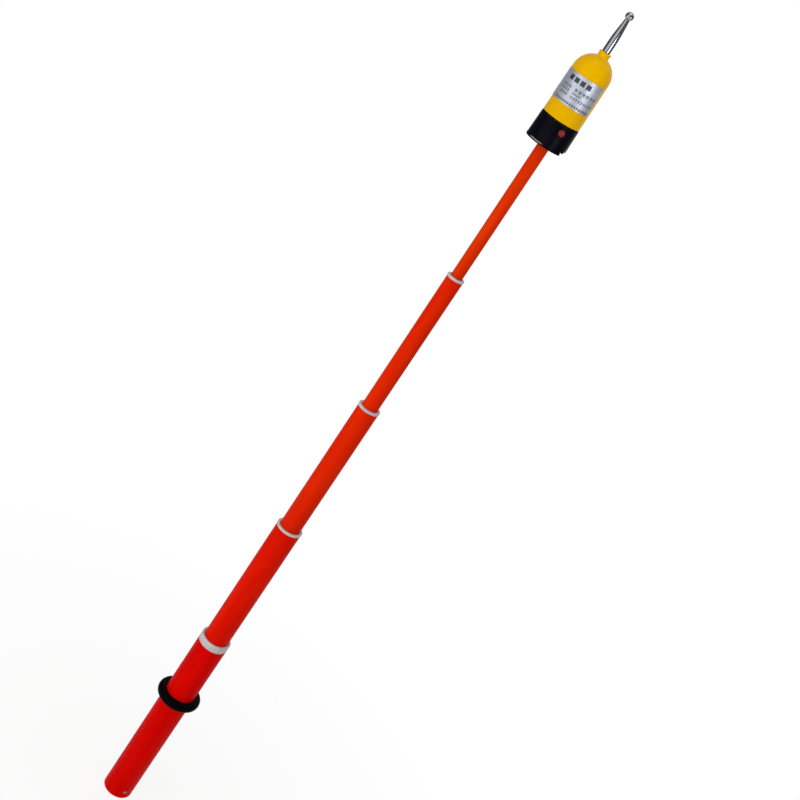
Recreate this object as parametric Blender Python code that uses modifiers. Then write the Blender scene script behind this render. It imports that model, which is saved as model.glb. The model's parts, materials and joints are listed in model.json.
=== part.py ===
"""Telescopic high voltage detector: an insulating rod of five tubes that carries a sounding head.

Metres, +Z up along the rod. The origin is the centre of the handle's flat end, and the rod is drawn out to
its stops.
"""

import math

import bmesh
import bpy
from mathutils import Matrix, Vector

MM = 0.001
MERGE = 0.00001
SEGMENTS = 28
FINE_SEGMENTS = 16
BUTTON_SEGMENTS = 24
SOUND_HOLE_SEGMENTS = 8

# Clearances
FIT = 0.15 * MM
SLIDE = 0.2 * MM
SEAT = 0.25 * MM

# Rod: the tubes from the handle up, with the length of each that shows when it is drawn out
TUBE_DIAMETERS = (32.5 * MM, 27 * MM, 22 * MM, 16.5 * MM, 11.5 * MM)
TUBE_WALL = 1.5 * MM
TUBE_CHAMFER = 0.3 * MM
HANDLE_TUBE_LENGTH = 222.4 * MM
DRAWN_LENGTHS = (152 * MM, 151 * MM, 150 * MM, 141.9 * MM)

# Guide rings at the tube mouths and stop bushes on the tube ends
RING_HEIGHTS = (8 * MM, 2.5 * MM, 2.5 * MM, 2.5 * MM)
RING_OVERHANGS = (0, 0.4 * MM, 0.4 * MM, 0.4 * MM)
RING_ROUND = 0.7 * MM
RING_MOUTH_CHAMFER = 0.4 * MM
SPIGOT_LENGTH = 16 * MM
BUSH_LENGTH = 28 * MM
BUSH_LIP = 1.2 * MM
BUSH_LIP_REACH = 1 * MM

# Handle
GUARD_DIAMETER = 48.2 * MM
GUARD_THICKNESS = 9.2 * MM
GUARD_ROUND = 4 * MM
GUARD_HEIGHT = 141.2 * MM
PLUG_DEPTH = 14 * MM
PLUG_FACE = 3 * MM
PLUG_WALL = 2.4 * MM
RIVET_HEIGHT = 9.7 * MM
RIVET_ANGLE = math.radians(16)
RIVET_DIAMETER = 2.4 * MM
RIVET_HEAD_DIAMETER = 3.6 * MM
RIVET_HEAD_RISE = 0.7 * MM

# Base housing of the head, whose width follows the dome that plugs into it
BASE_HEIGHT = 24.2 * MM
BASE_DRAFT = 0.5 * MM
BASE_WALL = 1.7 * MM
BASE_LIP_HEIGHT = 2 * MM
BASE_LIP_RISE = 0.2 * MM
BASE_ROUND = 0.5 * MM
SKIRT_DEPTH = 8 * MM
SKIRT_WALL = 2 * MM
FLOOR = 2.4 * MM
NOTCH_DEPTH = 4 * MM
NOTCH_WIDTH = 19 * MM
NOTCH_ANGLE = math.radians(62)
SOCKET_DIAMETER = 16 * MM
SOCKET_RECESS = 2 * MM
SOCKET_TOP_DIAMETER = 12.4 * MM
SOCKET_SEAT_DIAMETER = 15.2 * MM
SOCKET_ROOF = 2.5 * MM

# Ferrule that joins the rod to the head
STUD_DIAMETER = 8 * MM
STUD_LENGTH = 10 * MM
STUD_SPARE = 1.5 * MM
FERRULE_FLANGE = 2 * MM
FERRULE_SHANK = 22 * MM

# Dome housing
DOME_DIAMETER = 35.5 * MM
DOME_DRAFT = 0.5 * MM
DOME_WALL = 2 * MM
DOME_STRAIGHT = 44.2 * MM
DOME_SPIGOT = 7.5 * MM
DOME_SPIGOT_WALL = 0.9 * MM
SEAL_THICKNESS = 0.8 * MM
COLLAR_DIAMETER = 11.2 * MM
COLLAR_NECK_DIAMETER = 10.4 * MM
COLLAR_RISE = 4.8 * MM
COLLAR_LIP = 1.4 * MM
COLLAR_BOSS_DROP = 1.4 * MM
COLLAR_BOSS_DIAMETER = 10 * MM

# Label round the dome, as angles from the front towards +X
LABEL_HEIGHT = 27.2 * MM
LABEL_RISE = 14 * MM
LABEL_START = math.radians(-126)
LABEL_END = math.radians(40)
LABEL_THICKNESS = 0.2 * MM
LABEL_GAP = 0.12 * MM

# Electrode
ELECTRODE_DIAMETER = 7.6 * MM
ELECTRODE_STRAIGHT = 11.4 * MM
ELECTRODE_TAPER = 19.6 * MM
ELECTRODE_TIP_DIAMETER = 3.8 * MM
BALL_DIAMETER = 7.2 * MM
ELECTRODE_THREAD = 5 * MM
NUT_ACROSS_FLATS = 8 * MM
NUT_HEIGHT = 4 * MM
WASHER_DIAMETER = 9 * MM
WASHER_THICKNESS = 0.8 * MM
THREAD_BEYOND_NUT = 3 * MM

# Test button, switch and return spring
BUTTON_DIAMETER = 6.4 * MM
BUTTON_DROP = 6.2 * MM
BUTTON_PROUD = 0.9 * MM
BUTTON_FLANGE_DIAMETER = 8.4 * MM
BUTTON_FLANGE = 1 * MM
BUTTON_STEM_DIAMETER = 2.6 * MM
BUTTON_TRAVEL = 1.5 * MM
SPRING_WIRE = 0.4 * MM
SPRING_DIAMETER = 5 * MM
SPRING_LENGTH = 3 * MM
SPRING_TURNS = 3.5
SWITCH_WIDTH = 6 * MM
SWITCH_DEPTH = 3.4 * MM
SWITCH_ABOVE_BUTTON = 3.2 * MM
PLUNGER_LENGTH = 0.6 * MM
PLUNGER_DIAMETER = 2.4 * MM

# Boards and what stands on them
BOARD_THICKNESS = 1.6 * MM
SWITCH_BOARD_DROP = 4.7 * MM
BUZZER_DIAMETER = 8 * MM
BUZZER_HEIGHT = 5 * MM
SOUND_HOLE_DIAMETER = 1.6 * MM
SOUND_HOLE_PITCH = 2.6 * MM
LAMP_DIAMETER = 5 * MM
LAMP_FLANGE_DIAMETER = 5.8 * MM
LAMP_FLANGE = 0.6 * MM
LAMP_LENGTH = 6 * MM
CHIP_SIZE = (8 * MM, 6 * MM, 1.6 * MM)
CHIP_PLACE = (-8.5 * MM, 0)
CAPACITOR_DIAMETER = 5 * MM
CAPACITOR_HEIGHT = 7 * MM
CAPACITOR_EDGE = 0.3 * MM
CAPACITOR_PLACE = (8.5 * MM, 4 * MM)
TRIMMER_SIZE = (5 * MM, 4.6 * MM, 4 * MM)
TRIMMER_PLACE = (8.5 * MM, -5 * MM)

# Battery
CELL_DIAMETER = 11.6 * MM
CELL_HEIGHT = 5.4 * MM
CELL_RIM = 0.5 * MM
CELLS = 4
CELL_GAP = 0.1 * MM
HOLDER_WALL = 1.2 * MM
HOLDER_FLANGE = 1.6 * MM
CELL_SPRING_HEIGHT = 4 * MM
CELL_SPRING_DIAMETERS = (9 * MM, 5 * MM)
CELL_SPRING_TURNS = 3.5
CELL_SPRING_WIRE = 0.5 * MM
ANTENNA_SPRING_DIAMETER = 5 * MM
ANTENNA_SPRING_TURNS = 6
ANTENNA_SPRING_WIRE = 0.5 * MM

# Radii and heights that follow from the sizes above
tube_radii = [diameter / 2 for diameter in TUBE_DIAMETERS]
bore_radii = [radius - TUBE_WALL for radius in tube_radii]
tube_tops = [HANDLE_TUBE_LENGTH]
for drawn, ring_height in zip(DRAWN_LENGTHS, RING_HEIGHTS):
    tube_tops.append(tube_tops[-1] + ring_height + drawn)
base_bottom = tube_tops.pop()
base_top = base_bottom + BASE_HEIGHT
socket_bottom = base_bottom + SOCKET_RECESS
socket_end = socket_bottom + STUD_LENGTH + STUD_SPARE
socket_top = socket_end + SOCKET_ROOF
tube_tops.append(socket_bottom - 2 * SEAT - FERRULE_FLANGE)
bush_tops = [top - SPIGOT_LENGTH - SEAT for top in tube_tops[:-1]]
tube_bottoms = [0] + [top - BUSH_LENGTH + BUSH_LIP + SEAT for top in bush_tops]
floor_bottom = base_bottom + SKIRT_DEPTH
floor_top = floor_bottom + FLOOR

dome_radius = DOME_DIAMETER / 2
dome_bore = dome_radius - DOME_WALL
spigot_radius = dome_bore + DOME_SPIGOT_WALL
spigot_bottom = base_top - DOME_SPIGOT
dome_shoulder = base_top + 2 * SEAT + SEAL_THICKNESS
dome_centre = dome_shoulder + DOME_STRAIGHT
neck_radius = COLLAR_NECK_DIAMETER / 2
neck_root = dome_centre + math.sqrt(dome_radius**2 - neck_radius**2)
collar_top = neck_root + COLLAR_RISE
boss_radius = COLLAR_BOSS_DIAMETER / 2
boss_seat = dome_centre + math.sqrt(dome_bore**2 - boss_radius**2) - COLLAR_BOSS_DROP
thread_hole = ELECTRODE_THREAD / 2 + SLIDE

base_bore = spigot_radius + SLIDE
base_top_radius = base_bore + BASE_WALL
base_radius = base_top_radius + BASE_DRAFT
skirt_bore = base_radius - SKIRT_WALL

button_height = base_top - BUTTON_DROP
button_radius = BUTTON_DIAMETER / 2
button_flange_radius = BUTTON_FLANGE_DIAMETER / 2
base_radius_at_button = base_top_radius + BASE_DRAFT * BUTTON_DROP / BASE_HEIGHT
button_face = base_radius_at_button + BUTTON_PROUD
button_flange_front = math.sqrt(base_bore**2 - button_flange_radius**2) - SEAT
button_flange_back = button_flange_front - BUTTON_FLANGE
switch_face = button_flange_back - 2 * SEAT - SPRING_LENGTH
plunger_tip = switch_face + PLUNGER_LENGTH
button_stem_tip = plunger_tip + BUTTON_TRAVEL + FIT

switch_board_top = button_height - SWITCH_BOARD_DROP
board_seat = switch_board_top - BOARD_THICKNESS - SEAT
socket_seat_radius = SOCKET_SEAT_DIAMETER / 2
socket_top_radius = SOCKET_TOP_DIAMETER / 2
lamp_offset = (socket_seat_radius + base_bore) / 2

holder_bore = CELL_DIAMETER / 2 + FIT
holder_radius = holder_bore + HOLDER_WALL
holder_bottom = socket_top + SEAT
cells_bottom = holder_bottom + HOLDER_WALL + 2 * SEAT + CELL_SPRING_HEIGHT
cells_top = cells_bottom + CELLS * CELL_HEIGHT + (CELLS - 1) * CELL_GAP
holder_top = cells_top + SEAT
board_radius = dome_bore - SLIDE - SEAT
main_board_bottom = holder_top + SEAT
main_board_top = main_board_bottom + BOARD_THICKNESS
buzzer_offset = (holder_radius + dome_bore) / 2

washer_top = boss_seat - SEAT
nut_top = washer_top - WASHER_THICKNESS - SEAT
electrode_end = nut_top - NUT_HEIGHT - THREAD_BEYOND_NUT

FINISHES = {
    "handle red": ((0.57, 0.0, 0.0), 0.3, 0.0),
    "tube red": ((0.65, 0.03, 0.002), 0.3, 0.0),
    "tube orange": ((0.7, 0.05, 0.002), 0.3, 0.0),
    "white nylon": ((0.62, 0.6, 0.6), 0.45, 0.0),
    "black plastic": ((0.006, 0.006, 0.01), 0.35, 0.0),
    "black rubber": ((0.004, 0.004, 0.006), 0.55, 0.0),
    "yellow plastic": ((0.88, 0.44, 0.0), 0.3, 0.0),
    "silver foil": ((0.5, 0.51, 0.58), 0.4, 0.6),
    "red plastic": ((0.35, 0.01, 0.015), 0.4, 0.0),
    "red lens": ((0.6, 0.01, 0.01), 0.1, 0.0),
    "green board": ((0.01, 0.12, 0.04), 0.5, 0.0),
    "chrome": ((0.7, 0.7, 0.72), 0.12, 1.0),
    "nickel": ((0.6, 0.58, 0.54), 0.3, 1.0),
    "brass": ((0.7, 0.45, 0.15), 0.3, 1.0),
    "spring steel": ((0.45, 0.45, 0.46), 0.3, 1.0),
}


def new_collection(name):
    collection = bpy.data.collections.new(name)
    bpy.context.scene.collection.children.link(collection)
    return collection


def new_material(name, finish):
    colour, roughness, metallic = FINISHES[finish]
    material = bpy.data.materials.new(name)
    material.use_nodes = True
    shader = material.node_tree.nodes["Principled BSDF"]
    shader.inputs["Base Color"].default_value = (*colour, 1)
    shader.inputs["Roughness"].default_value = roughness
    shader.inputs["Metallic"].default_value = metallic
    return material


def add_part(name, mesh, finish):
    """A sub-part with a material of its own."""
    part = bpy.data.objects.new(name, mesh)
    parts.objects.link(part)
    mesh.materials.append(new_material(name, finish))
    return part


def add_cutter(name, mesh):
    cutter = bpy.data.objects.new(name, mesh)
    cutters.objects.link(cutter)
    cutter.hide_render = True
    cutter.display_type = "WIRE"
    return cutter


def combine(part, other, operation="DIFFERENCE"):
    boolean = part.modifiers.new(other.name, "BOOLEAN")
    boolean.operation = operation
    boolean.object = other


def profile_mesh(name, profile, closed):
    edges = [(index, index + 1) for index in range(len(profile) - 1)]
    if closed:
        edges.append((len(profile) - 1, 0))
    mesh = bpy.data.meshes.new(name)
    mesh.from_pydata([(radius, 0, height) for radius, height in profile], edges, [])
    return mesh


def turn(part, segments):
    """Turns the part's profile round its own Z."""
    screw = part.modifiers.new("Turn", "SCREW")
    screw.steps = screw.render_steps = segments
    screw.use_merge_vertices = True
    screw.merge_threshold = MERGE
    screw.use_smooth_shade = True
    return part


def turned(name, profile, finish, segments=SEGMENTS):
    """A solid piece from (radius, height) points that run down its outer side, from the axis to the axis."""
    return turn(add_part(name, profile_mesh(name, profile, False), finish), segments)


def turned_ring(name, profile, finish, segments=SEGMENTS):
    """A piece with a bore right through, from points down its outer side and back up the bore."""
    return turn(add_part(name, profile_mesh(name, profile, True), finish), segments)


def turned_cutter(name, profile, segments=FINE_SEGMENTS):
    return turn(add_cutter(name, profile_mesh(name, profile, False)), segments)


def rod_profile(radius, bottom, top):
    return [(0, top), (radius, top), (radius, bottom), (0, bottom)]


def arc(centre, radius, start, end, steps):
    """Points (radius, height) on an arc, with angles in degrees up from the horizontal."""
    angles = [math.radians(start + (end - start) * step / steps) for step in range(steps + 1)]
    return [(centre[0] + radius * math.cos(a), centre[1] + radius * math.sin(a)) for a in angles]


def box_mesh(name, size):
    mesh = bpy.data.meshes.new(name)
    form = bmesh.new()
    bmesh.ops.create_cube(form, size=1, matrix=Matrix.Diagonal((*size, 1)))
    form.to_mesh(mesh)
    form.free()
    return mesh


def prism_mesh(name, radius, height, sides):
    mesh = bpy.data.meshes.new(name)
    form = bmesh.new()
    bmesh.ops.create_cone(form, cap_ends=True, segments=sides, radius1=radius, radius2=radius, depth=height)
    form.to_mesh(mesh)
    form.free()
    return mesh


def coil(name, finish, diameters, length, turns, wire):
    """A compression spring up from its own origin, with half a turn lying flat at each end."""
    points_per_turn = 8
    count = round(turns * points_per_turn)
    curve = bpy.data.curves.new(name, "CURVE")
    curve.dimensions = "3D"
    curve.bevel_depth = wire / 2
    curve.bevel_resolution = 1
    curve.use_fill_caps = True
    spline = curve.splines.new("POLY")
    spline.points.add(count)
    for index in range(count + 1):
        turned_by = index / points_per_turn
        share = min(max((turned_by - 0.5) / (turns - 1), 0), 1)
        radius = (diameters[0] + (diameters[1] - diameters[0]) * index / count - wire) / 2
        angle = math.tau * turned_by
        height = wire / 2 + (length - wire) * share
        spline.points[index].co = (radius * math.cos(angle), radius * math.sin(angle), height, 1)
    return add_part(name, curve, finish)


def aim_outward(part, angle, height):
    """Turns a piece's own Z to point out of the rod, at an angle from the front towards +X."""
    part.rotation_euler = (math.pi / 2, 0, angle)
    part.location = (0, 0, height)
    return part


def tube(name, index, finish):
    radius, bore = tube_radii[index], bore_radii[index]
    bottom, top = tube_bottoms[index], tube_tops[index]
    profile = [(bore, top), (radius - TUBE_CHAMFER, top), (radius, top - TUBE_CHAMFER)]
    profile += [(radius, bottom + TUBE_CHAMFER), (radius - TUBE_CHAMFER, bottom), (bore, bottom)]
    return turned_ring(name, profile, finish)


def guide_ring(index):
    """The white ring that caps a tube's mouth. Its spigot fills the gap to the next tube and stops it."""
    top = tube_tops[index] + RING_HEIGHTS[index]
    radius = tube_radii[index] + RING_OVERHANGS[index]
    mouth = tube_radii[index + 1] + SLIDE
    spigot = bore_radii[index] - FIT
    seat = tube_tops[index] + SEAT
    end = tube_tops[index] - SPIGOT_LENGTH
    profile = [(mouth + RING_MOUTH_CHAMFER, top)]
    profile += arc((radius - RING_ROUND, top - RING_ROUND), RING_ROUND, 90, 0, 3)
    profile += [(radius, seat), (spigot, seat), (spigot, end), (mouth, end)]
    profile += [(mouth, top - RING_MOUTH_CHAMFER)]
    return turned_ring(f"guide_ring_{index + 1}", profile, "white nylon")


def stop_bush(index):
    """The sleeve on a tube's lower end. It runs in the next tube down and has a lip under the tube's end."""
    top = bush_tops[index - 1]
    bottom = top - BUSH_LENGTH
    radius = bore_radii[index - 1] - SLIDE
    bore = tube_radii[index] + FIT
    lip = tube_radii[index] - BUSH_LIP_REACH
    profile = [(bore, top), (radius, top), (radius, bottom), (lip, bottom)]
    profile += [(lip, bottom + BUSH_LIP), (bore, bottom + BUSH_LIP)]
    return turned_ring(f"stop_bush_{index + 1}", profile, "white nylon")


def end_plug():
    """A cup that closes the handle's lower end, open to the inside."""
    radius = bore_radii[0] - FIT
    profile = [(0, PLUG_FACE), (radius - PLUG_WALL, PLUG_FACE), (radius - PLUG_WALL, PLUG_DEPTH)]
    profile += [(radius, PLUG_DEPTH), (radius, TUBE_CHAMFER), (radius - TUBE_CHAMFER, 0), (0, 0)]
    return turned("handle_end_plug", profile, "handle red")


def end_plug_rivet(tube_part, plug_part):
    """The rivet through the tube and the plug, and the hole that it fills in both."""
    shank = RIVET_DIAMETER / 2
    head = RIVET_HEAD_DIAMETER / 2
    seat = tube_radii[0] + FIT
    end = bore_radii[0] - FIT - PLUG_WALL
    dome = (head**2 + RIVET_HEAD_RISE**2) / (2 * RIVET_HEAD_RISE)
    rim = math.degrees(math.acos(head / dome))
    profile = arc((0, seat + RIVET_HEAD_RISE - dome), dome, 90, rim, 3)
    profile += [(shank, seat), (shank, end), (0, end)]
    rivet = turned("end_plug_rivet", profile, "nickel", FINE_SEGMENTS)
    aim_outward(rivet, RIVET_ANGLE, RIVET_HEIGHT)
    hole = turned_cutter("rivet_hole", rod_profile(shank + FIT, end - PLUG_WALL, seat + PLUG_WALL))
    aim_outward(hole, RIVET_ANGLE, RIVET_HEIGHT)
    combine(tube_part, hole)
    combine(plug_part, hole)
    return rivet


def hand_guard():
    radius = GUARD_DIAMETER / 2
    bore = tube_radii[0] + FIT
    bottom, top = GUARD_HEIGHT, GUARD_HEIGHT + GUARD_THICKNESS
    centre = radius - GUARD_ROUND
    profile = [(bore, top)]
    profile += arc((centre, top - GUARD_ROUND), GUARD_ROUND, 90, 0, 4)
    profile += arc((centre, bottom + GUARD_ROUND), GUARD_ROUND, 0, -90, 4)
    profile += [(bore, bottom)]
    return turned_ring("hand_guard", profile, "black rubber")


def rod_ferrule():
    """The metal end of tube 5: a shank glued in its bore, a flange on its end and a stud for the head."""
    flange_bottom = tube_tops[-1] + SEAT
    flange_top = flange_bottom + FERRULE_FLANGE
    stud = STUD_DIAMETER / 2
    shank = bore_radii[-1] - FIT
    flange = tube_radii[-1]
    stud_top = flange_top + STUD_LENGTH
    shank_end = tube_tops[-1] - FERRULE_SHANK
    profile = [(0, stud_top), (stud - TUBE_CHAMFER, stud_top), (stud, stud_top - TUBE_CHAMFER)]
    profile += [(stud, flange_top), (flange, flange_top), (flange, flange_bottom)]
    profile += [(shank, flange_bottom), (shank, shank_end), (0, shank_end)]
    return turned("rod_ferrule", profile, "brass")


def base_housing():
    """The black cup of the head, with a skirt round the lamps and a socket for the rod's stud."""
    socket_bore = STUD_DIAMETER / 2 + FIT
    socket = SOCKET_DIAMETER / 2
    lip = base_radius + BASE_LIP_RISE
    lip_top = base_bottom + BASE_LIP_HEIGHT
    profile = [(0, socket_top), (socket_top_radius, socket_top), (socket_top_radius, board_seat)]
    profile += [(socket_seat_radius, board_seat), (socket_seat_radius, floor_top), (base_bore, floor_top)]
    profile += [(base_bore, base_top)]
    profile += arc((base_top_radius - BASE_ROUND, base_top - BASE_ROUND), BASE_ROUND, 90, 0, 2)
    profile += [(base_radius, lip_top + BASE_LIP_RISE), (lip, lip_top)]
    profile += arc((lip - BASE_ROUND, base_bottom + BASE_ROUND), BASE_ROUND, 0, -90, 2)
    profile += [(skirt_bore, base_bottom), (skirt_bore, floor_bottom), (socket, floor_bottom)]
    profile += [(socket, socket_bottom), (socket_bore, socket_bottom)]
    profile += [(socket_bore, socket_end), (0, socket_end)]
    base = turned("base_housing", profile, "black plastic")
    combine(base, rim_notch_cutter())
    combine(base, button_hole_cutter())
    for side in (-1, 1):
        hole = rod_profile(LAMP_DIAMETER / 2 + SLIDE, floor_bottom - FLOOR, floor_top + FLOOR)
        lamp_hole = turned_cutter(f"lamp_hole_{side}", hole)
        lamp_hole.location = (side * lamp_offset, 0, 0)
        combine(base, lamp_hole)
    return base


def rim_notch_cutter():
    depth = 2 * SKIRT_WALL + 2 * BASE_LIP_RISE
    notch = add_cutter("rim_notch", box_mesh("rim_notch", (NOTCH_WIDTH, 2 * depth, 2 * NOTCH_DEPTH)))
    notch.rotation_euler = (0, 0, NOTCH_ANGLE)
    notch.location = Matrix.Rotation(NOTCH_ANGLE, 3, "Z") @ Vector((0, -base_radius, base_bottom))
    return notch


def button_hole_cutter():
    hole = rod_profile(button_radius + SLIDE, base_bore - 2 * BASE_WALL, base_radius + BASE_WALL)
    return aim_outward(turned_cutter("button_hole", hole, BUTTON_SEGMENTS), 0, button_height)


def dome_housing():
    """The yellow dome, with a spigot that plugs into the base and a collar that carries the electrode."""
    collar = COLLAR_DIAMETER / 2
    lip_bottom = collar_top - COLLAR_LIP
    step = collar - neck_radius
    foot = dome_radius + DOME_DRAFT
    neck_angle = math.degrees(math.acos(neck_radius / dome_radius))
    boss_angle = math.degrees(math.acos(boss_radius / dome_bore))
    profile = [(thread_hole, collar_top), (collar - step, collar_top), (collar, collar_top - step)]
    profile += [(collar, lip_bottom), (neck_radius, lip_bottom - step)]
    profile += arc((0, dome_centre), dome_radius, neck_angle, 0, 9)
    profile += [(foot, dome_shoulder), (spigot_radius, dome_shoulder), (spigot_radius, spigot_bottom)]
    profile += [(dome_bore, spigot_bottom)]
    profile += arc((0, dome_centre), dome_bore, 0, boss_angle, 6)
    profile += [(boss_radius, boss_seat), (thread_hole, boss_seat)]
    dome = turned_ring("dome_housing", profile, "yellow plastic")
    combine(dome, spigot_notch_cutter())
    return dome


def spigot_notch_cutter():
    """The notch in the dome's spigot that lets the test button's flange through."""
    width = BUTTON_FLANGE_DIAMETER + 4 * SLIDE
    top = button_height + width / 2
    height = 2 * (top - spigot_bottom)
    reach = 4 * DOME_SPIGOT_WALL
    notch = add_cutter("spigot_notch", box_mesh("spigot_notch", (width, 2 * reach, height)))
    notch.location = (0, -spigot_radius, spigot_bottom)
    return notch


def seal_ring():
    bottom = base_top + SEAT
    top = bottom + SEAL_THICKNESS
    inner, outer = spigot_radius + SLIDE, base_top_radius - BASE_ROUND
    profile = [(inner, top), (outer, top), (outer, bottom), (inner, bottom)]
    return turned_ring("seal_ring", profile, "black rubber")


def dome_radius_at(height):
    return dome_radius + DOME_DRAFT * (dome_centre - height) / DOME_STRAIGHT


def label():
    """A foil sheet that follows the dome's tapered wall."""
    bottom = dome_shoulder + LABEL_RISE
    columns = 18
    form = bmesh.new()
    rows = []
    for height in (bottom, bottom + LABEL_HEIGHT):
        radius = dome_radius_at(height) + LABEL_GAP
        angles = [LABEL_START + (LABEL_END - LABEL_START) * column / columns for column in range(columns + 1)]
        rows.append([form.verts.new((radius * math.sin(a), -radius * math.cos(a), height)) for a in angles])
    for column in range(columns):
        low, high = rows[0][column : column + 2], rows[1][column : column + 2]
        form.faces.new((low[0], low[1], high[1], high[0]))
    mesh = bpy.data.meshes.new("label")
    form.to_mesh(mesh)
    form.free()
    sheet = add_part("label", mesh, "silver foil")
    solidify = sheet.modifiers.new("Thickness", "SOLIDIFY")
    solidify.thickness = LABEL_THICKNESS
    solidify.offset = 1
    return sheet


def electrode():
    """The chromed contact: a ball on a tapered rod, and a threaded shank down through the collar."""
    radius = ELECTRODE_DIAMETER / 2
    tip = ELECTRODE_TIP_DIAMETER / 2
    ball = BALL_DIAMETER / 2
    thread = ELECTRODE_THREAD / 2
    foot = collar_top + SEAT
    taper_bottom = foot + ELECTRODE_STRAIGHT
    taper_top = taper_bottom + ELECTRODE_TAPER
    ball_angle = math.degrees(math.acos(tip / ball))
    ball_centre = taper_top + math.sqrt(ball**2 - tip**2)
    profile = arc((0, ball_centre), ball, 90, -ball_angle, 8)
    profile += [(radius, taper_bottom), (radius, foot), (thread, foot)]
    profile += [(thread, electrode_end), (0, electrode_end)]
    return turned("electrode", profile, "chrome", BUTTON_SEGMENTS)


def electrode_washer():
    bottom = washer_top - WASHER_THICKNESS
    outer = WASHER_DIAMETER / 2
    profile = [(thread_hole, washer_top), (outer, washer_top), (outer, bottom), (thread_hole, bottom)]
    return turned_ring("electrode_washer", profile, "nickel", FINE_SEGMENTS)


def electrode_nut():
    """A hexagon nut: a prism cut by its bore, with its corners taken off by a cone."""
    corner = NUT_ACROSS_FLATS / 2 / math.cos(math.pi / 6)
    nut = add_part("electrode_nut", prism_mesh("electrode_nut", corner, NUT_HEIGHT, 6), "nickel")
    nut.location = (0, 0, nut_top - NUT_HEIGHT / 2)
    flat = NUT_ACROSS_FLATS / 2
    fall = (corner - flat) / math.sqrt(3)
    cone = [(0, NUT_HEIGHT), (flat, NUT_HEIGHT / 2), (corner, NUT_HEIGHT / 2 - fall)]
    cone += [(corner, fall - NUT_HEIGHT / 2), (flat, -NUT_HEIGHT / 2), (0, -NUT_HEIGHT)]
    corner_cone = turned_cutter("nut_corners", cone, BUTTON_SEGMENTS)
    corner_cone.location = nut.location
    bore = turned_cutter("nut_bore", rod_profile(thread_hole, -NUT_HEIGHT, NUT_HEIGHT))
    bore.location = nut.location
    combine(nut, corner_cone, "INTERSECT")
    combine(nut, bore)
    return nut


def test_button():
    """The red cap, the flange that keeps it in, and the stem that reaches for the switch."""
    stem = BUTTON_STEM_DIAMETER / 2
    crown = BUTTON_PROUD / 2
    profile = [(0, button_face), (button_radius - crown, button_face), (button_radius, button_face - crown)]
    profile += [(button_radius, button_flange_front), (button_flange_radius, button_flange_front)]
    profile += [(button_flange_radius, button_flange_back), (stem, button_flange_back)]
    profile += [(stem, button_stem_tip), (0, button_stem_tip)]
    return aim_outward(turned("test_button", profile, "red plastic", BUTTON_SEGMENTS), 0, button_height)


def button_spring():
    diameters = (SPRING_DIAMETER, SPRING_DIAMETER)
    spring = coil("button_spring", "spring steel", diameters, SPRING_LENGTH, SPRING_TURNS, SPRING_WIRE)
    aim_outward(spring, 0, button_height)
    spring.location.y = -(switch_face + SEAT)
    return spring


def test_switch():
    """A push switch that stands on the board, with its plunger facing the button."""
    bottom = switch_board_top + SEAT
    height = button_height + SWITCH_ABOVE_BUTTON - bottom
    mesh = box_mesh("test_switch", (SWITCH_WIDTH, SWITCH_DEPTH, height))
    switch = add_part("test_switch", mesh, "black plastic")
    switch.location = (0, SWITCH_DEPTH / 2 - switch_face, bottom + height / 2)
    stub = rod_profile(PLUNGER_DIAMETER / 2, switch_face - SWITCH_DEPTH / 2, plunger_tip)
    plunger = aim_outward(turned_cutter("switch_plunger", stub), 0, button_height)
    combine(switch, plunger, "UNION")
    return switch


def cut_sound_holes(base, board):
    """Three small holes under the buzzer, through the floor of the base and the board on it."""
    for step in (-1, 0, 1):
        hole = rod_profile(SOUND_HOLE_DIAMETER / 2, floor_bottom - FLOOR, switch_board_top + FLOOR)
        sound_hole = turned_cutter(f"sound_hole_{step}", hole, SOUND_HOLE_SEGMENTS)
        sound_hole.location = (step * SOUND_HOLE_PITCH, buzzer_offset, 0)
        combine(base, sound_hole)
        combine(board, sound_hole)


def switch_board():
    """The ring-shaped board round the socket, which carries the switch, the buzzer and the lamps."""
    bottom = switch_board_top - BOARD_THICKNESS
    inner, outer = socket_top_radius + SEAT, base_bore - SLIDE - SEAT
    profile = [(inner, switch_board_top), (outer, switch_board_top), (outer, bottom), (inner, bottom)]
    return turned_ring("switch_board", profile, "green board")


def buzzer():
    bottom = switch_board_top + SEAT
    top = bottom + BUZZER_HEIGHT
    radius = BUZZER_DIAMETER / 2
    port = SOUND_HOLE_DIAMETER / 2
    port_end = bottom + BUZZER_HEIGHT / 2
    profile = [(0, top), (radius, top), (radius, bottom), (port, bottom), (port, port_end), (0, port_end)]
    part = turned("buzzer", profile, "black plastic", FINE_SEGMENTS)
    part.location = (0, buzzer_offset, 0)
    return part


def signal_lamp(name, side):
    """A 5 mm lamp that looks down through the floor of the base, towards the user."""
    flange_bottom = floor_top + SEAT
    radius = LAMP_DIAMETER / 2
    flange = LAMP_FLANGE_DIAMETER / 2
    flange_top = flange_bottom + LAMP_FLANGE
    dome_start = flange_bottom - LAMP_LENGTH + radius
    profile = [(0, flange_top), (flange, flange_top), (flange, flange_bottom), (radius, flange_bottom)]
    profile += arc((0, dome_start), radius, 0, -90, 4)
    lamp = turned(name, profile, "red lens", FINE_SEGMENTS)
    lamp.location = (side * lamp_offset, 0, 0)
    return lamp


def battery_holder():
    """The tube that holds the stack of cells, with a wide flange that the main board lies on."""
    flange_bottom = holder_top - HOLDER_FLANGE
    inner_floor = holder_bottom + HOLDER_WALL
    profile = [(0, inner_floor), (holder_bore, inner_floor), (holder_bore, holder_top)]
    profile += [(board_radius, holder_top), (board_radius, flange_bottom), (holder_radius, flange_bottom)]
    profile += [(holder_radius, holder_bottom), (0, holder_bottom)]
    return turned("battery_holder", profile, "white nylon")


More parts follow.
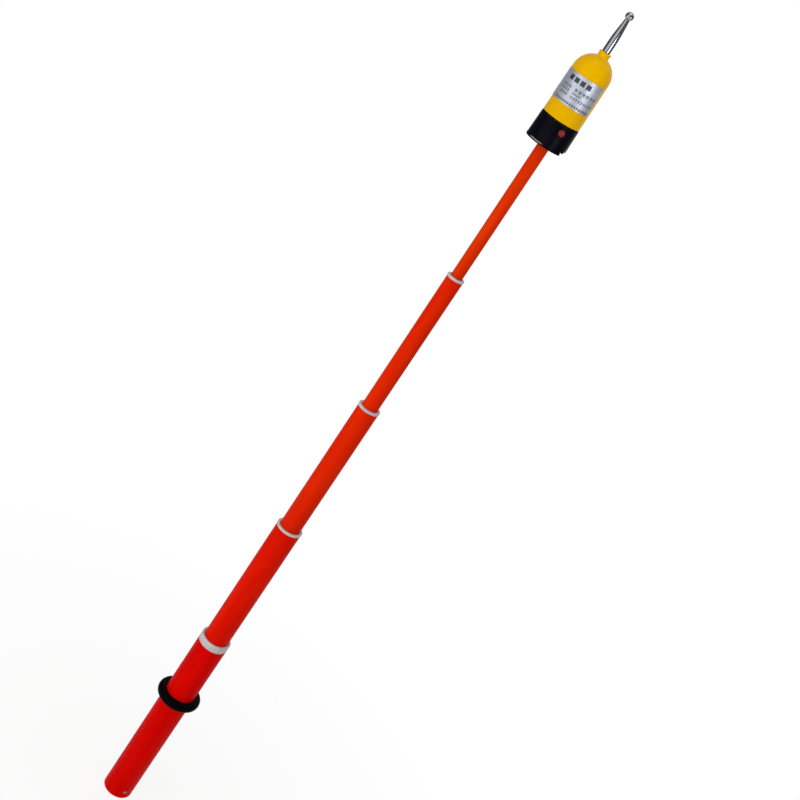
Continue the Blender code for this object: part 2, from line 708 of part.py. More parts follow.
def battery_spring():
    height = CELL_SPRING_HEIGHT
    spring = coil(
        "battery_spring", "spring steel", CELL_SPRING_DIAMETERS, height, CELL_SPRING_TURNS, CELL_SPRING_WIRE
    )
    spring.location = (0, 0, holder_bottom + HOLDER_WALL + SEAT)
    return spring


def button_cell(number):
    bottom = cells_bottom + (number - 1) * (CELL_HEIGHT + CELL_GAP)
    top = bottom + CELL_HEIGHT
    radius = CELL_DIAMETER / 2
    neck = radius - 2 * CELL_RIM
    profile = [(0, top), (radius, top), (radius, bottom + CELL_RIM), (neck, bottom + CELL_RIM)]
    profile += [(neck, bottom), (0, bottom)]
    return turned(f"button_cell_{number}", profile, "nickel", FINE_SEGMENTS)


def main_board():
    profile = rod_profile(board_radius, main_board_bottom, main_board_top)
    return turned("main_board", profile, "green board")


def board_block(name, size, place, finish):
    """A moulded component that stands on the main board."""
    block = add_part(name, box_mesh(name, size), finish)
    block.location = (*place, main_board_top + SEAT + size[2] / 2)
    return block


def capacitor():
    radius = CAPACITOR_DIAMETER / 2
    bottom = main_board_top + SEAT
    top = bottom + CAPACITOR_HEIGHT
    edge = CAPACITOR_EDGE
    profile = [(0, top), (radius - edge, top), (radius, top - edge), (radius, bottom), (0, bottom)]
    can = turned("capacitor", profile, "black plastic", FINE_SEGMENTS)
    can.location = (*CAPACITOR_PLACE, 0)
    return can


def antenna_spring():
    """The spring that joins the main board to the electrode's lower end."""
    length = electrode_end - main_board_top - 2 * SEAT
    diameters = (ANTENNA_SPRING_DIAMETER, ANTENNA_SPRING_DIAMETER)
    spring = coil(
        "antenna_spring", "spring steel", diameters, length, ANTENNA_SPRING_TURNS, ANTENNA_SPRING_WIRE
    )
    spring.location = (0, 0, main_board_top + SEAT)
    return spring


def carrier(name, pieces, parent=None, height=0):
    """An empty on the rod's axis that its pieces, and whatever slides on them, move with."""
    empty = bpy.data.objects.new(name, None)
    parts.objects.link(empty)
    empty.parent = parent
    empty.location = (0, 0, height)
    for piece in pieces:
        piece.parent = empty
        piece.matrix_parent_inverse = Matrix.Translation((0, 0, -height))
    return empty


for old in list(bpy.data.objects):
    bpy.data.objects.remove(old)
parts = new_collection("high_voltage_detector")
cutters = new_collection("cutters")

handle_tube = tube("handle_tube", 0, "handle red")
plug = end_plug()
handle_pieces = [handle_tube, plug, end_plug_rivet(handle_tube, plug), hand_guard(), guide_ring(0)]
section = carrier("handle_carrier", handle_pieces)
for index, finish in ((1, "tube red"), (2, "tube red"), (3, "tube orange")):
    pieces = [tube(f"tube_{index + 1}", index, finish), guide_ring(index), stop_bush(index)]
    section = carrier(f"section_{index + 1}_carrier", pieces, section)

base, board = base_housing(), switch_board()
cut_sound_holes(base, board)
head_pieces = [tube("tube_5", 4, "tube orange"), stop_bush(4), rod_ferrule(), base, dome_housing()]
head_pieces += [seal_ring(), label(), electrode(), electrode_washer(), electrode_nut()]
head_pieces += [board, test_switch(), button_spring(), buzzer()]
head_pieces += [signal_lamp("signal_lamp_left", -1), signal_lamp("signal_lamp_right", 1)]
head_pieces += [battery_holder(), battery_spring(), main_board(), capacitor(), antenna_spring()]
head_pieces += [button_cell(number + 1) for number in range(CELLS)]
head_pieces += [board_block("processor_chip", CHIP_SIZE, CHIP_PLACE, "black plastic")]
head_pieces += [board_block("trimmer", TRIMMER_SIZE, TRIMMER_PLACE, "black plastic")]
head = carrier("section_5_carrier", head_pieces, section)
carrier("test_button_carrier", [test_button()], head, button_height)
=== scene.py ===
# %% [markdown]
# # A telescopic high voltage detector
#
# Linemen hold this tool by its red handle and touch a conductor with the ball at its tip. The head then
# beeps and lights up if the line is live. The rod is five glass fibre tubes that slide into each other,
# with a white nylon ring at each mouth. The head is a yellow dome that plugs into a black cup.
#
# The CAD model fixes every size and every joint. This lesson loads it, makes smoother and finer pieces over
# the nodes that show, and gives every node a finish that is worked out from the real one. Blender counts in
# metres and a maker in millimetres, so sizes are written in millimetres and MM turns them.

import json
import math

import bmesh
import bpy
from mathutils import Euler, Matrix, Vector


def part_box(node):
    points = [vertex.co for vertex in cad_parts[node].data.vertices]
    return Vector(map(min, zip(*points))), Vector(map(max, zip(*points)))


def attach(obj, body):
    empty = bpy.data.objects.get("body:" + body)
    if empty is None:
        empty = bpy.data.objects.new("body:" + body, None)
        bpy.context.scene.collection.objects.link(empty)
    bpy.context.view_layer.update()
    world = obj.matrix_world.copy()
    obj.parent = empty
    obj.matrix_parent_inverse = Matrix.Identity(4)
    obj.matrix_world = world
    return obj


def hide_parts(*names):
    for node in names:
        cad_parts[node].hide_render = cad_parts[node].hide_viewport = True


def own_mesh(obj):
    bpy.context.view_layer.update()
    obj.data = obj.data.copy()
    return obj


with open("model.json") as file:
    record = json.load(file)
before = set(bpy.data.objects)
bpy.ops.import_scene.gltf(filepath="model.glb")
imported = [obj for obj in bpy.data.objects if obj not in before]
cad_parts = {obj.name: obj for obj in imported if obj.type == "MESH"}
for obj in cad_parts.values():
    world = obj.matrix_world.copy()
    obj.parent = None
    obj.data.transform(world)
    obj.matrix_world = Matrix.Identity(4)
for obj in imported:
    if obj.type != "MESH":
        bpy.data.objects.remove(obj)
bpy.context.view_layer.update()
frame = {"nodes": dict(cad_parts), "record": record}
MM = 0.001
record = frame["record"]
slot_of_node = {row["node"]: row["material_slot"] for row in record["subparts"]}
body_of_node = {node: body for body, nodes in record["behaviour"]["bodies"].items() for node in nodes}


def millimetres(node):
    """The outer radius, the bottom and the top of a round CAD node."""
    low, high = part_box(node)
    return high.x / MM, low.z / MM, high.z / MM


# %% [markdown]
# ## Camera
#
# The photograph was taken with a normal lens, from above the middle of the rod and a little to its left.
# The camera was also turned on its own axis, so the upright rod runs from corner to corner. Three angles
# say all of that: the heading, the tilt down and the roll. A rotation that is built from them in this order
# keeps each one easy to adjust alone, which a single look-at constraint wouldn't.

# %% Camera
LENS_MM, SENSOR_MM = 59.14, 36
NEAREST, FARTHEST = 0.01, 100
CAMERA_PLACE = (-0.4180, -1.0697, 1.0110)
HEADING, TILT_DOWN, ROLL = math.radians(22.33), math.radians(21.38), math.radians(33.98)


def new_object(name, data):
    """An object that shows this mesh, curve, light or camera, linked to the scene."""
    shown = bpy.data.objects.new(name, data)
    bpy.context.scene.collection.objects.link(shown)
    return shown


camera = new_object("camera", bpy.data.cameras.new("camera"))
camera.data.lens = LENS_MM
camera.data.sensor_width = SENSOR_MM
camera.data.clip_start, camera.data.clip_end = NEAREST, FARTHEST
level_view = Euler((math.pi / 2 - TILT_DOWN, 0, -HEADING)).to_matrix()
camera.matrix_world = (level_view @ Matrix.Rotation(ROLL, 3, "Z")).to_4x4()
camera.location = CAMERA_PLACE
bpy.context.scene.camera = camera
print("camera", LENS_MM, "mm")

# %% [markdown]
# ## Nodes and colours
#
# Every finish below is a small network of shader nodes. One function adds a node: its keyword arguments are
# the node's own settings, and the dictionary holds its sockets. A socket that is given another node's
# output gets a link, and any other value is typed in. Where several sockets share one name, as on a Math
# node, they go by number. Colours are written as sRGB hex, as a colour picker shows them. Blender mixes
# light in linear values, so one function turns them.

# %% Nodes and colours
def add_node(tree, kind, sockets=None, **settings):
    """Adds a shader node, with its settings, its socket values and its links."""
    node = tree.nodes.new(kind)
    for name, value in settings.items():
        setattr(node, name, value)
    for name, value in (sockets or {}).items():
        if isinstance(value, bpy.types.NodeSocket):
            tree.links.new(value, node.inputs[name])
        else:
            node.inputs[name].default_value = value
    return node


def linear(code):
    """An sRGB hex colour, such as F0B400, in the linear values that a socket takes."""
    shares = [int(code[start : start + 2], 16) / 255 for start in (0, 2, 4)]
    return (*[s / 12.92 if s <= 0.04045 else ((s + 0.055) / 1.055) ** 2.4 for s in shares], 1)


def per_metre(size_mm):
    """The scale that gives a pattern features of that size."""
    return 1000 / size_mm


# %% [markdown]
# A finish starts as a Principled material with one colour and one roughness, and patterns are wired into it
# after that. Two colours are blended by a Mix node, which has a set of sockets for each kind of value:
# numbers 6, 7 and 2 are those of its colours.

# %% Finishes
MIX_A, MIX_B, MIX_RESULT = 6, 7, 2


def new_finish(name, colour, roughness, sockets):
    """A Principled material, with the middle of the colours and roughnesses that its patterns give."""
    finish = bpy.data.materials.new(name)
    finish.use_nodes = True
    shader = finish.node_tree.nodes["Principled BSDF"]
    for socket, value in {"Base Color": linear(colour), "Roughness": roughness, **sockets}.items():
        shader.inputs[socket].default_value = value
    print("finish:", name)
    return finish


def wire_up(finish, socket, output):
    """Drives a socket of the finish with a pattern."""
    finish.node_tree.links.new(output, finish.node_tree.nodes["Principled BSDF"].inputs[socket])


def paint(finish, under, over, share):
    """Colours the finish with a blend of two colours: the share is 1 where the second one covers."""
    blend = add_node(
        finish.node_tree, "ShaderNodeMix", {"Factor": share, MIX_A: under, MIX_B: over}, data_type="RGBA"
    )
    wire_up(finish, "Base Color", blend.outputs[MIX_RESULT])
    return blend.outputs[MIX_RESULT]


# %% [markdown]
# ## Grain
#
# No moulded, turned or sprayed surface is quite even. The same small unevenness bends the reflections and
# changes how sharp they are, so one noise drives both the bump and the roughness. Its size is the grain of
# the real surface in millimetres, stretched where the process runs in one direction. A noise stays near its
# middle value, so only the middle of its range is spread over the two ends.

# %% Grain
GRAIN_LOW, GRAIN_HIGH = 0.3, 0.7
PATCH_LOW, PATCH_HIGH = 0.35, 0.65


def unevenness(tree, size_mm, stretch, detail, fineness=0.5):
    """A soft pattern of that size, pulled out along an axis whose stretch is below 1."""
    place = add_node(tree, "ShaderNodeTexCoord").outputs["Object"]
    stretched = add_node(tree, "ShaderNodeMapping", {"Vector": place, "Scale": stretch}).outputs[0]
    sockets = {"Vector": stretched, "Scale": per_metre(size_mm), "Detail": detail, "Roughness": fineness}
    return add_node(tree, "ShaderNodeTexNoise", sockets).outputs["Fac"]


def give_grain(finish, grain_mm, depth_mm, smoothest, roughest, stretch=(1, 1, 1), height=None):
    """Adds bump and uneven roughness. A height from other nodes is added to the grain's own."""
    tree = finish.node_tree
    relief = unevenness(tree, grain_mm, stretch, detail=4, fineness=0.6)
    uneven = add_node(
        tree, "ShaderNodeMapRange",
        {"Value": relief, "From Min": GRAIN_LOW, "From Max": GRAIN_HIGH,
         "To Min": smoothest, "To Max": roughest},
    )
    wire_up(finish, "Roughness", uneven.outputs[0])
    if height:
        relief = add_node(tree, "ShaderNodeMath", {0: relief, 1: height}, operation="ADD").outputs[0]
    bump = add_node(tree, "ShaderNodeBump", {"Height": relief, "Distance": depth_mm * MM, "Strength": 1})
    wire_up(finish, "Normal", bump.outputs[0])


def vary_colour(finish, low, high, patch_mm, stretch=(1, 1, 1)):
    """Blends two colours in soft patches of that size."""
    tree = finish.node_tree
    patches = unevenness(tree, patch_mm, stretch, detail=3)
    share = add_node(
        tree, "ShaderNodeMapRange", {"Value": patches, "From Min": PATCH_LOW, "From Max": PATCH_HIGH}
    )
    return paint(finish, linear(low), linear(high), share.outputs[0])


# %% [markdown]
# ## Unrolling
#
# Windings, rubbed edges and print all run round the tool, so their patterns are drawn on the unrolled
# piece. The height stays what it is, and the turn is the angle from the middle of the pattern, which grows
# on the way from the front to +X. To get it, the point is rotated until that middle faces the front, which
# is -Y, and an arctangent reads its angle.

# %% Unrolling
def unrolled(tree, middle=0):
    """The turn round the axis, in radians from that angle, and the height."""
    place = add_node(tree, "ShaderNodeTexCoord").outputs["Object"]
    facing = add_node(
        tree, "ShaderNodeVectorRotate", {"Vector": place, "Angle": -middle}, rotation_type="Z_AXIS"
    )
    axes = add_node(tree, "ShaderNodeSeparateXYZ", {"Vector": facing.outputs[0]}).outputs
    forward = add_node(tree, "ShaderNodeMath", {0: axes["Y"], 1: -1}, operation="MULTIPLY").outputs[0]
    turn = add_node(tree, "ShaderNodeMath", {0: axes["X"], 1: forward}, operation="ARCTAN2").outputs[0]
    return turn, axes["Z"]


# %% [markdown]
# ## Lacquered glass fibre
#
# The tubes are wound from glass fibre soaked in epoxy and sprayed with a signal-red lacquer, and the
# crossing windings show under it as a faint diamond relief. The relief is two sine waves round the tube,
# one left-handed and one right-handed, because a helix is a straight line on the unrolled tube.

# %% Windings
WINDINGS, WINDING_PITCH_MM, WINDING_RELIEF = 18, 48, 0.25


def winding_relief(tree):
    """The height of two crossing sets of fibre strands."""
    turn, height = unrolled(tree)
    strands = add_node(tree, "ShaderNodeMath", {0: turn, 1: WINDINGS}, operation="MULTIPLY").outputs[0]
    relief = WINDING_RELIEF
    for hand in (-1, 1):
        climb = hand * math.tau * WINDINGS * per_metre(WINDING_PITCH_MM)
        line = {0: height, 1: climb, 2: strands}
        phase = add_node(tree, "ShaderNodeMath", line, operation="MULTIPLY_ADD").outputs[0]
        wave = add_node(tree, "ShaderNodeMath", {0: phase}, operation="SINE").outputs[0]
        relief = add_node(tree, "ShaderNodeMath", {0: relief, 1: wave}, operation="MULTIPLY").outputs[0]
    return relief


# %% [markdown]
# The lacquer gives a soft satin light with an orange cast. Each time that a section is pushed in, the ring
# rubs fine lines along its tube. They are a noise that is pulled out a hundredfold along the rod.

# %% Lacquered glass fibre
RUB_WIDTH_MM, RUB_STRETCH = 0.7, (1, 1, 0.01)
RUB_LOW, RUB_HIGH = 0.62, 0.75


def lacquered_glass_fibre(name, colour, deep, rub_strength):
    """The satin red lacquer, with the windings under it and the rub marks on it."""
    sockets = {"IOR": 1.5, "Specular IOR Level": 0.02, "Specular Tint": linear("FFA03A")}
    finish = new_finish(f"lacquered glass fibre, {name}", colour, 0.45, sockets)
    tree = finish.node_tree
    give_grain(
        finish, grain_mm=2.5, depth_mm=0.006, smoothest=0.4, roughest=0.5,
        stretch=(1, 1, 0.2), height=winding_relief(tree),
    )
    lacquer = vary_colour(finish, deep, colour, patch_mm=14, stretch=(1, 1, 0.15))
    lines = unevenness(tree, RUB_WIDTH_MM, RUB_STRETCH, detail=2)
    marks = add_node(
        tree, "ShaderNodeMapRange",
        {"Value": lines, "From Min": RUB_LOW, "From Max": RUB_HIGH, "To Max": rub_strength},
    )
    paint(finish, lacquer, linear("FF8A50"), marks.outputs[0])
    return finish


# The handle and the tubes carry one lacquer. Their different reds are painted light: each is painted the
# deeper or more orange red that the light makes of it.
TUBE_COLOURS_AS_LIT = [("DB1802", "CF0C01"), ("DC2602", "D01A01"), ("DD2802", "D11C01"), ("D83404", "CC2602")]

handle_lacquer = lacquered_glass_fibre("handle", "D40501", "C80101", rub_strength=0.03)
tube_lacquers = []
for number, (colour, deep) in enumerate(TUBE_COLOURS_AS_LIT, start=2):
    tube_lacquers.append(lacquered_glass_fibre(f"tube {number}", colour, deep, rub_strength=0.05))

# %% [markdown]
# ## Turned nylon
#
# The rings are turned from white polyamide. It is matt, a little warm, and the cutting tool leaves rings
# round it, 0.1 mm apart. That is too fine to show, so they are drawn 0.5 mm apart.

# %% Turned nylon
def tool_rings(finish, pitch_mm):
    """The height of rings that a cutting tool leaves round a turned piece."""
    tree = finish.node_tree
    place = add_node(tree, "ShaderNodeTexCoord").outputs["Object"]
    height = add_node(tree, "ShaderNodeSeparateXYZ", {"Vector": place}).outputs["Z"]
    climb = math.tau * per_metre(pitch_mm)
    phase = add_node(tree, "ShaderNodeMath", {0: height, 1: climb}, operation="MULTIPLY").outputs[0]
    return add_node(tree, "ShaderNodeMath", {0: phase}, operation="SINE").outputs[0]


turned_nylon = new_finish("turned nylon", "BEB8BA", 0.5, {"IOR": 1.53, "Specular IOR Level": 0.3})
give_grain(
    turned_nylon, grain_mm=1.2, depth_mm=0.006, smoothest=0.42, roughest=0.6,
    height=tool_rings(turned_nylon, pitch_mm=0.5),
)
vary_colour(turned_nylon, "B6AFB1", "C6C1C3", patch_mm=6)

# %% [markdown]
# ## Black ABS
#
# The cup is moulded from black ABS in a spark-eroded mould, whose surface is a fine even grain. A stretch
# of its bead is painted pale, as a painted highlight where its rounded lower edge catches the light. That
# stretch is worked out from the height, the turn round the axis and the distance from it, which keeps the
# bore of the cup free of it.

# %% Black ABS
RIM_HEIGHT = (millimetres("base_housing")[1] + 1.75) * MM
RIM_WIDTH, RIM_RADIUS = 0.55 * MM, 18.5 * MM
RIM_MIDDLE, RIM_HALF_SPAN = math.radians(-49), math.radians(24)
RIM_HIGHLIGHT_CORE = 0.6


def painted_highlight_share(tree):
    """The share of painted highlight: 1 along a stretch of the bead, fading to 0 beside it and at its ends.
    """
    turn, height = unrolled(tree, RIM_MIDDLE)
    above = add_node(tree, "ShaderNodeMath", {0: height, 1: RIM_HEIGHT}, operation="SUBTRACT").outputs[0]
    place = add_node(tree, "ShaderNodeTexCoord").outputs["Object"]
    level = add_node(tree, "ShaderNodeVectorMath", {0: place, 1: (1, 1, 0)}, operation="MULTIPLY")
    radius = add_node(tree, "ShaderNodeVectorMath", {0: level.outputs[0]}, operation="LENGTH")
    outside = {0: radius.outputs["Value"], 1: RIM_RADIUS}
    share = add_node(tree, "ShaderNodeMath", outside, operation="GREATER_THAN").outputs[0]
    for offset, reach in ((turn, RIM_HALF_SPAN), (above, RIM_WIDTH)):
        size = add_node(tree, "ShaderNodeMath", {0: offset}, operation="ABSOLUTE").outputs[0]
        fade = add_node(
            tree, "ShaderNodeMapRange",
            {"Value": size, "From Min": RIM_HIGHLIGHT_CORE * reach, "From Max": reach,
             "To Min": 1, "To Max": 0},
        ).outputs[0]
        share = add_node(tree, "ShaderNodeMath", {0: share, 1: fade}, operation="MULTIPLY").outputs[0]
    return share


black_abs = new_finish("moulded black ABS", "06060E", 0.34, {"IOR": 1.54, "Specular IOR Level": 0.03})
give_grain(black_abs, grain_mm=0.7, depth_mm=0.01, smoothest=0.28, roughest=0.42)
mould_black = vary_colour(black_abs, "04040A", "080812", patch_mm=12)
# The pale stretch of the bead is a painted highlight.
paint(black_abs, mould_black, linear("858085"), painted_highlight_share(black_abs.node_tree))

# %% [markdown]
# ## Yellow ABS, red ABS and rubber
#
# The dome is yellow ABS from a polished mould: glossy, with the slight orange peel of thick mouldings. The
# button is red ABS with a dull skin, so that a fingertip doesn't slip. The hand guard is black nitrile
# rubber, which scatters light from a fine matt skin. All of them reflect like any plastic, with an IOR
# close to 1.5, and differ in their grain and their roughness.

# %% Yellow ABS, red ABS and rubber
yellow_abs = new_finish(
    "moulded yellow ABS", "D9A500", 0.26,
    {"IOR": 1.54, "Specular IOR Level": 0.1, "Specular Tint": linear("FFC850")},
)
give_grain(yellow_abs, grain_mm=2.2, depth_mm=0.003, smoothest=0.22, roughest=0.32)
vary_colour(yellow_abs, "D6A100", "DCA900", patch_mm=16)

red_abs = new_finish("moulded red ABS", "7A1216", 0.5, {"IOR": 1.54, "Specular IOR Level": 0.2})
give_grain(red_abs, grain_mm=0.5, depth_mm=0.008, smoothest=0.4, roughest=0.55)
vary_colour(red_abs, "6C0E12", "86161A", patch_mm=2)

nitrile_rubber = new_finish("nitrile rubber", "030306", 0.5, {"IOR": 1.52, "Specular IOR Level": 0.02})
give_grain(nitrile_rubber, grain_mm=0.8, depth_mm=0.02, smoothest=0.42, roughest=0.6)
vary_colour(nitrile_rubber, "020204", "05050A", patch_mm=5)

# %% [markdown]
# ## Metals
#
# The contact is turned brass with a chrome plate: a mirror, with turning marks so fine that they only
# soften it, again drawn coarser than they are. The rivet, the nut, the washer and the cells are nickel,
# brushed by handling. The ferrule under the head is bare brass, and the springs are drawn steel wire. A
# metal has no colour of its own below the surface, so its base colour is the tint of its reflection and its
# metallic value is 1.

# %% Metals
chrome_plate = new_finish("chrome plate on turned brass", "8A8F94", 0.12, {"Metallic": 1})
give_grain(
    chrome_plate, grain_mm=1.5, depth_mm=0.002, smoothest=0.08, roughest=0.18,
    height=tool_rings(chrome_plate, pitch_mm=0.6),
)

nickel_plate = new_finish("nickel plate", "C8C2B6", 0.3, {"Metallic": 1})
give_grain(nickel_plate, grain_mm=0.4, depth_mm=0.006, smoothest=0.25, roughest=0.45, stretch=(1, 1, 6))
vary_colour(nickel_plate, "BDB6A8", "D0CBC0", patch_mm=3)

worn_rivet = new_finish("handled nickel plate", "A8857A", 0.5, {"Metallic": 1})
give_grain(worn_rivet, grain_mm=0.4, depth_mm=0.006, smoothest=0.42, roughest=0.6)
vary_colour(worn_rivet, "9C7A6E", "B49286", patch_mm=1)

turned_brass = new_finish("turned brass", "C9A45A", 0.3, {"Metallic": 1})
give_grain(
    turned_brass, grain_mm=0.8, depth_mm=0.006, smoothest=0.25, roughest=0.42,
    height=tool_rings(turned_brass, pitch_mm=0.5),
)
vary_colour(turned_brass, "B89148", "D2AF66", patch_mm=4)

drawn_wire = new_finish("drawn spring wire", "9A9B9D", 0.35, {"Metallic": 1})
give_grain(drawn_wire, grain_mm=0.3, depth_mm=0.004, smoothest=0.3, roughest=0.45)
vary_colour(drawn_wire, "8C8D90", "A6A7A9", patch_mm=2)

# %% [markdown]
# ## Rows of print
#
# The label carries plain blocks for its rows of print, as a layout has before its words are set. Each row
# is a window on the unrolled label, given by its drop from the label's top edge and its start and end in
# millimetres. A fraction of the way along the row, which starts again at each block, leaves the gaps.

# %% Rows of print
LABEL_RADIUS_MM = 18.1
_, LABEL_BOTTOM, LABEL_TOP = millimetres("label")
PRINT_MIDDLE = math.radians(-21.3)
PRINT_ROWS_MM = (
    # drop, height, start, end, block, strength
    (5.2, 4.4, -15.5, 8.9, 6.1, 1.0),
    (12.4, 2.5, -17.6, -7.9, 2.45, 0.7),
    (12.4, 2.7, -4.3, 18.4, 3.8, 0.7),
    (15.8, 2.3, -17.6, -7.9, 2.45, 0.7),
    (15.8, 2.1, -4.3, 3.4, 1.95, 0.7),
    (19.3, 2.3, -16.8, -7.9, 2.45, 0.7),
    (19.3, 2.3, -4.3, 18.8, 2.55, 0.6),
    (25.0, 2.3, -18.4, 18.6, 2.35, 0.8),
)
BLOCK_SHARE = 0.72


def ink_share(tree):
    """How much ink covers the label: 0 on bare foil, and the row's strength on its blocks."""
    turn, height = unrolled(tree, PRINT_MIDDLE)
    along = add_node(tree, "ShaderNodeMath", {0: turn, 1: LABEL_RADIUS_MM}, operation="MULTIPLY").outputs[0]
    above = add_node(tree, "ShaderNodeMath", {0: height, 1: 1 / MM}, operation="MULTIPLY").outputs[0]
    ink = 0
    for drop, row_height, start, end, block, strength in PRINT_ROWS_MM:
        heights = {0: above, 1: LABEL_TOP - drop, 2: row_height / 2}
        span = {0: along, 1: (start + end) / 2, 2: (end - start) / 2}
        steps = {0: along, 1: 1 / block, 2: -start / block}
        in_row = add_node(tree, "ShaderNodeMath", heights, operation="COMPARE").outputs[0]
        in_span = add_node(tree, "ShaderNodeMath", span, operation="COMPARE").outputs[0]
        step = add_node(tree, "ShaderNodeMath", steps, operation="MULTIPLY_ADD").outputs[0]
        part = add_node(tree, "ShaderNodeMath", {0: step}, operation="FRACT").outputs[0]
        printed = {0: part, 1: BLOCK_SHARE}
        in_block = add_node(tree, "ShaderNodeMath", printed, operation="LESS_THAN").outputs[0]
        row = strength
        for inside in (in_row, in_span, in_block):
            row = add_node(tree, "ShaderNodeMath", {0: row, 1: inside}, operation="MULTIPLY").outputs[0]
        ink = add_node(tree, "ShaderNodeMath", {0: ink, 1: row}, operation="MAXIMUM").outputs[0]
    return ink


print("printed rows", len(PRINT_ROWS_MM))

# %% [markdown]
# ## Printed foil
#
# The label is a polyester foil with an aluminium layer, brushed round the dome, and printed. It is half
# metal and half lacquer to the eye: it catches the lamps as soft vertical bands. Ink covers the metal, so
# the metallic value goes down where there is print.

# %% Printed foil
FOIL_METAL = 0.62

printed_foil = new_finish("printed foil", "B3B9C6", 0.46, {"Metallic": FOIL_METAL})
give_grain(printed_foil, grain_mm=0.8, depth_mm=0.004, smoothest=0.4, roughest=0.52, stretch=(1, 1, 8))
bare_foil = vary_colour(printed_foil, "ABB1BE", "BBC1CD", patch_mm=5, stretch=(1, 1, 0.4))
foil_tree = printed_foil.node_tree
ink = ink_share(foil_tree)
paint(printed_foil, bare_foil, linear("2A2C36"), ink)
bare_share = add_node(foil_tree, "ShaderNodeMath", {0: 1, 1: ink}, operation="SUBTRACT").outputs[0]
metal = add_node(foil_tree, "ShaderNodeMath", {0: bare_share, 1: FOIL_METAL}, operation="MULTIPLY")
wire_up(printed_foil, "Metallic", metal.outputs[0])

# %% [markdown]
# ## Lamps, boards and components
#
# The lamps are 5 mm light-emitting diodes in clear red epoxy, which lets light through and has an IOR of
# 1.55. The boards are glass-epoxy laminate under green solder resist: copper tracks show through it as
# paler lines, here the mortar lines of a brick pattern with bricks a few millimetres wide. Chips and
# capacitors are moulded in dull black epoxy, which is filled with silica and so has a fine grain.

# %% Lamps, boards and components
TRACK_PITCH_MM, TRACK_WIDTH = 2.4, 0.06

lamp_epoxy = new_finish("clear red epoxy", "E01418", 0.08, {"IOR": 1.55, "Transmission Weight": 0.7})
give_grain(lamp_epoxy, grain_mm=1.5, depth_mm=0.004, smoothest=0.05, roughest=0.14)

solder_resist = new_finish("green solder resist", "12582E", 0.4, {"IOR": 1.52})
give_grain(solder_resist, grain_mm=1.0, depth_mm=0.008, smoothest=0.3, roughest=0.5)
resist_tree = solder_resist.node_tree
tracks = add_node(
    resist_tree, "ShaderNodeTexBrick",
    {"Vector": add_node(resist_tree, "ShaderNodeTexCoord").outputs["Object"],
     "Scale": per_metre(TRACK_PITCH_MM), "Mortar Size": TRACK_WIDTH,
     "Color1": linear("12582E"), "Color2": linear("0F4F29"), "Mortar": linear("3B8A4E")},
)
wire_up(solder_resist, "Base Color", tracks.outputs["Color"])

silica_epoxy = new_finish("silica-filled epoxy", "16161A", 0.55, {"IOR": 1.55})
give_grain(silica_epoxy, grain_mm=0.25, depth_mm=0.01, smoothest=0.48, roughest=0.65)
vary_colour(silica_epoxy, "121216", "1B1B20", patch_mm=2)

# %% [markdown]
# ## Sections with rounded corners
#
# Almost every piece of this tool is round, and the real ones are turned, drawn or moulded round one axis.
# So a piece starts as half of its section. A section of sharp corners would look like paper, because real
# corners are broken or rounded and catch a thin line of light. So each corner is written as a radius, a
# height and its own rounding, all in millimetres, and one function draws the arcs. An arc's centre lies on
# the line that halves the corner, and its points are blended from its two ends by the sines of their
# angles.

# %% Sections
ARC_STEP = math.radians(12)


def arc_corners(centre_height, radius, start_deg, end_deg, steps=24):
    """Corners along an arc round a point of the axis, with no rounding of their own."""
    corners = []
    for step in range(steps + 1):
        angle = math.radians(start_deg + (end_deg - start_deg) * step / steps)
        corners.append((radius * math.cos(angle), centre_height + radius * math.sin(angle), 0))
    return corners


def soften(corners, closed):
    """Replaces each corner (radius, height, rounding) of a section with the points of its arc."""
    points = []
    for index, (radius, height, rounding) in enumerate(corners):
        corner = Vector((radius, height))
        if not rounding or (not closed and index in (0, len(corners) - 1)):
            points.append(corner)
            continue
        before = (Vector(corners[index - 1][:2]) - corner).normalized()
        after = (Vector(corners[(index + 1) % len(corners)][:2]) - corner).normalized()
        half = before.angle(after) / 2
        centre = corner + (before + after).normalized() * rounding / math.sin(half)
        first = corner + before * rounding / math.tan(half) - centre
        last = corner + after * rounding / math.tan(half) - centre
        sweep = math.pi - 2 * half
        steps = max(2, math.ceil(sweep / ARC_STEP))
        for step in range(steps + 1):
            near, far = math.sin((1 - step / steps) * sweep), math.sin(step / steps * sweep)
            points.append(centre + (first * near + last * far) / math.sin(sweep))
    return points


# %% [markdown]
# ## Turning a piece
#
# A Screw modifier spins the section round the axis, in 96 steps, which is fine enough for a round edge up
# close. The finished mesh shades smoothly, except where two faces meet at more than 35 degrees.

# %% Turning
SEGMENTS = 96
SAME_POINT = 1e-6
SHARP_EDGE = math.radians(35)


def turned(name, corners, closed=True):
    """A round piece from half of its section. A section that isn't closed starts and ends on the axis."""
    points = soften(corners, closed)
    edges = [(index, index + 1) for index in range(len(points) - 1)]
    if closed:
        edges.append((len(points) - 1, 0))
    mesh = bpy.data.meshes.new(name)
    mesh.from_pydata([(radius * MM, 0, height * MM) for radius, height in points], edges, [])
    piece = new_object(name, mesh)
    screw = piece.modifiers.new("Turn", "SCREW")
    screw.steps = screw.render_steps = SEGMENTS
    screw.use_merge_vertices = True
    screw.merge_threshold = SAME_POINT
    screw.use_normal_calculate = True
    return piece


def settle(piece):
    """Turns the modifiers into plain mesh that shades smoothly except at real edges."""
    graph = bpy.context.evaluated_depsgraph_get()
    mesh = bpy.data.meshes.new_from_object(piece.evaluated_get(graph))
    mesh.name = piece.name
    piece.modifiers.clear()
    piece.data = mesh
    mesh.shade_smooth()
    mesh.set_sharp_from_angle(angle=SHARP_EDGE)
    return piece


# %% [markdown]
# A finished piece takes the place of its CAD node: it hides that node, takes its finish and rides on the
# same body, so that it moves with the joints.

# %% Dressing
def dress(piece, node, finish):
    """Puts a finished piece in the place of its CAD node."""
    settle(piece)
    piece.data.materials.clear()
    piece.data.materials.append(finish)
    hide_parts(node)
    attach(piece, body_of_node[node])
    print(piece.name, len(piece.data.polygons), "faces")


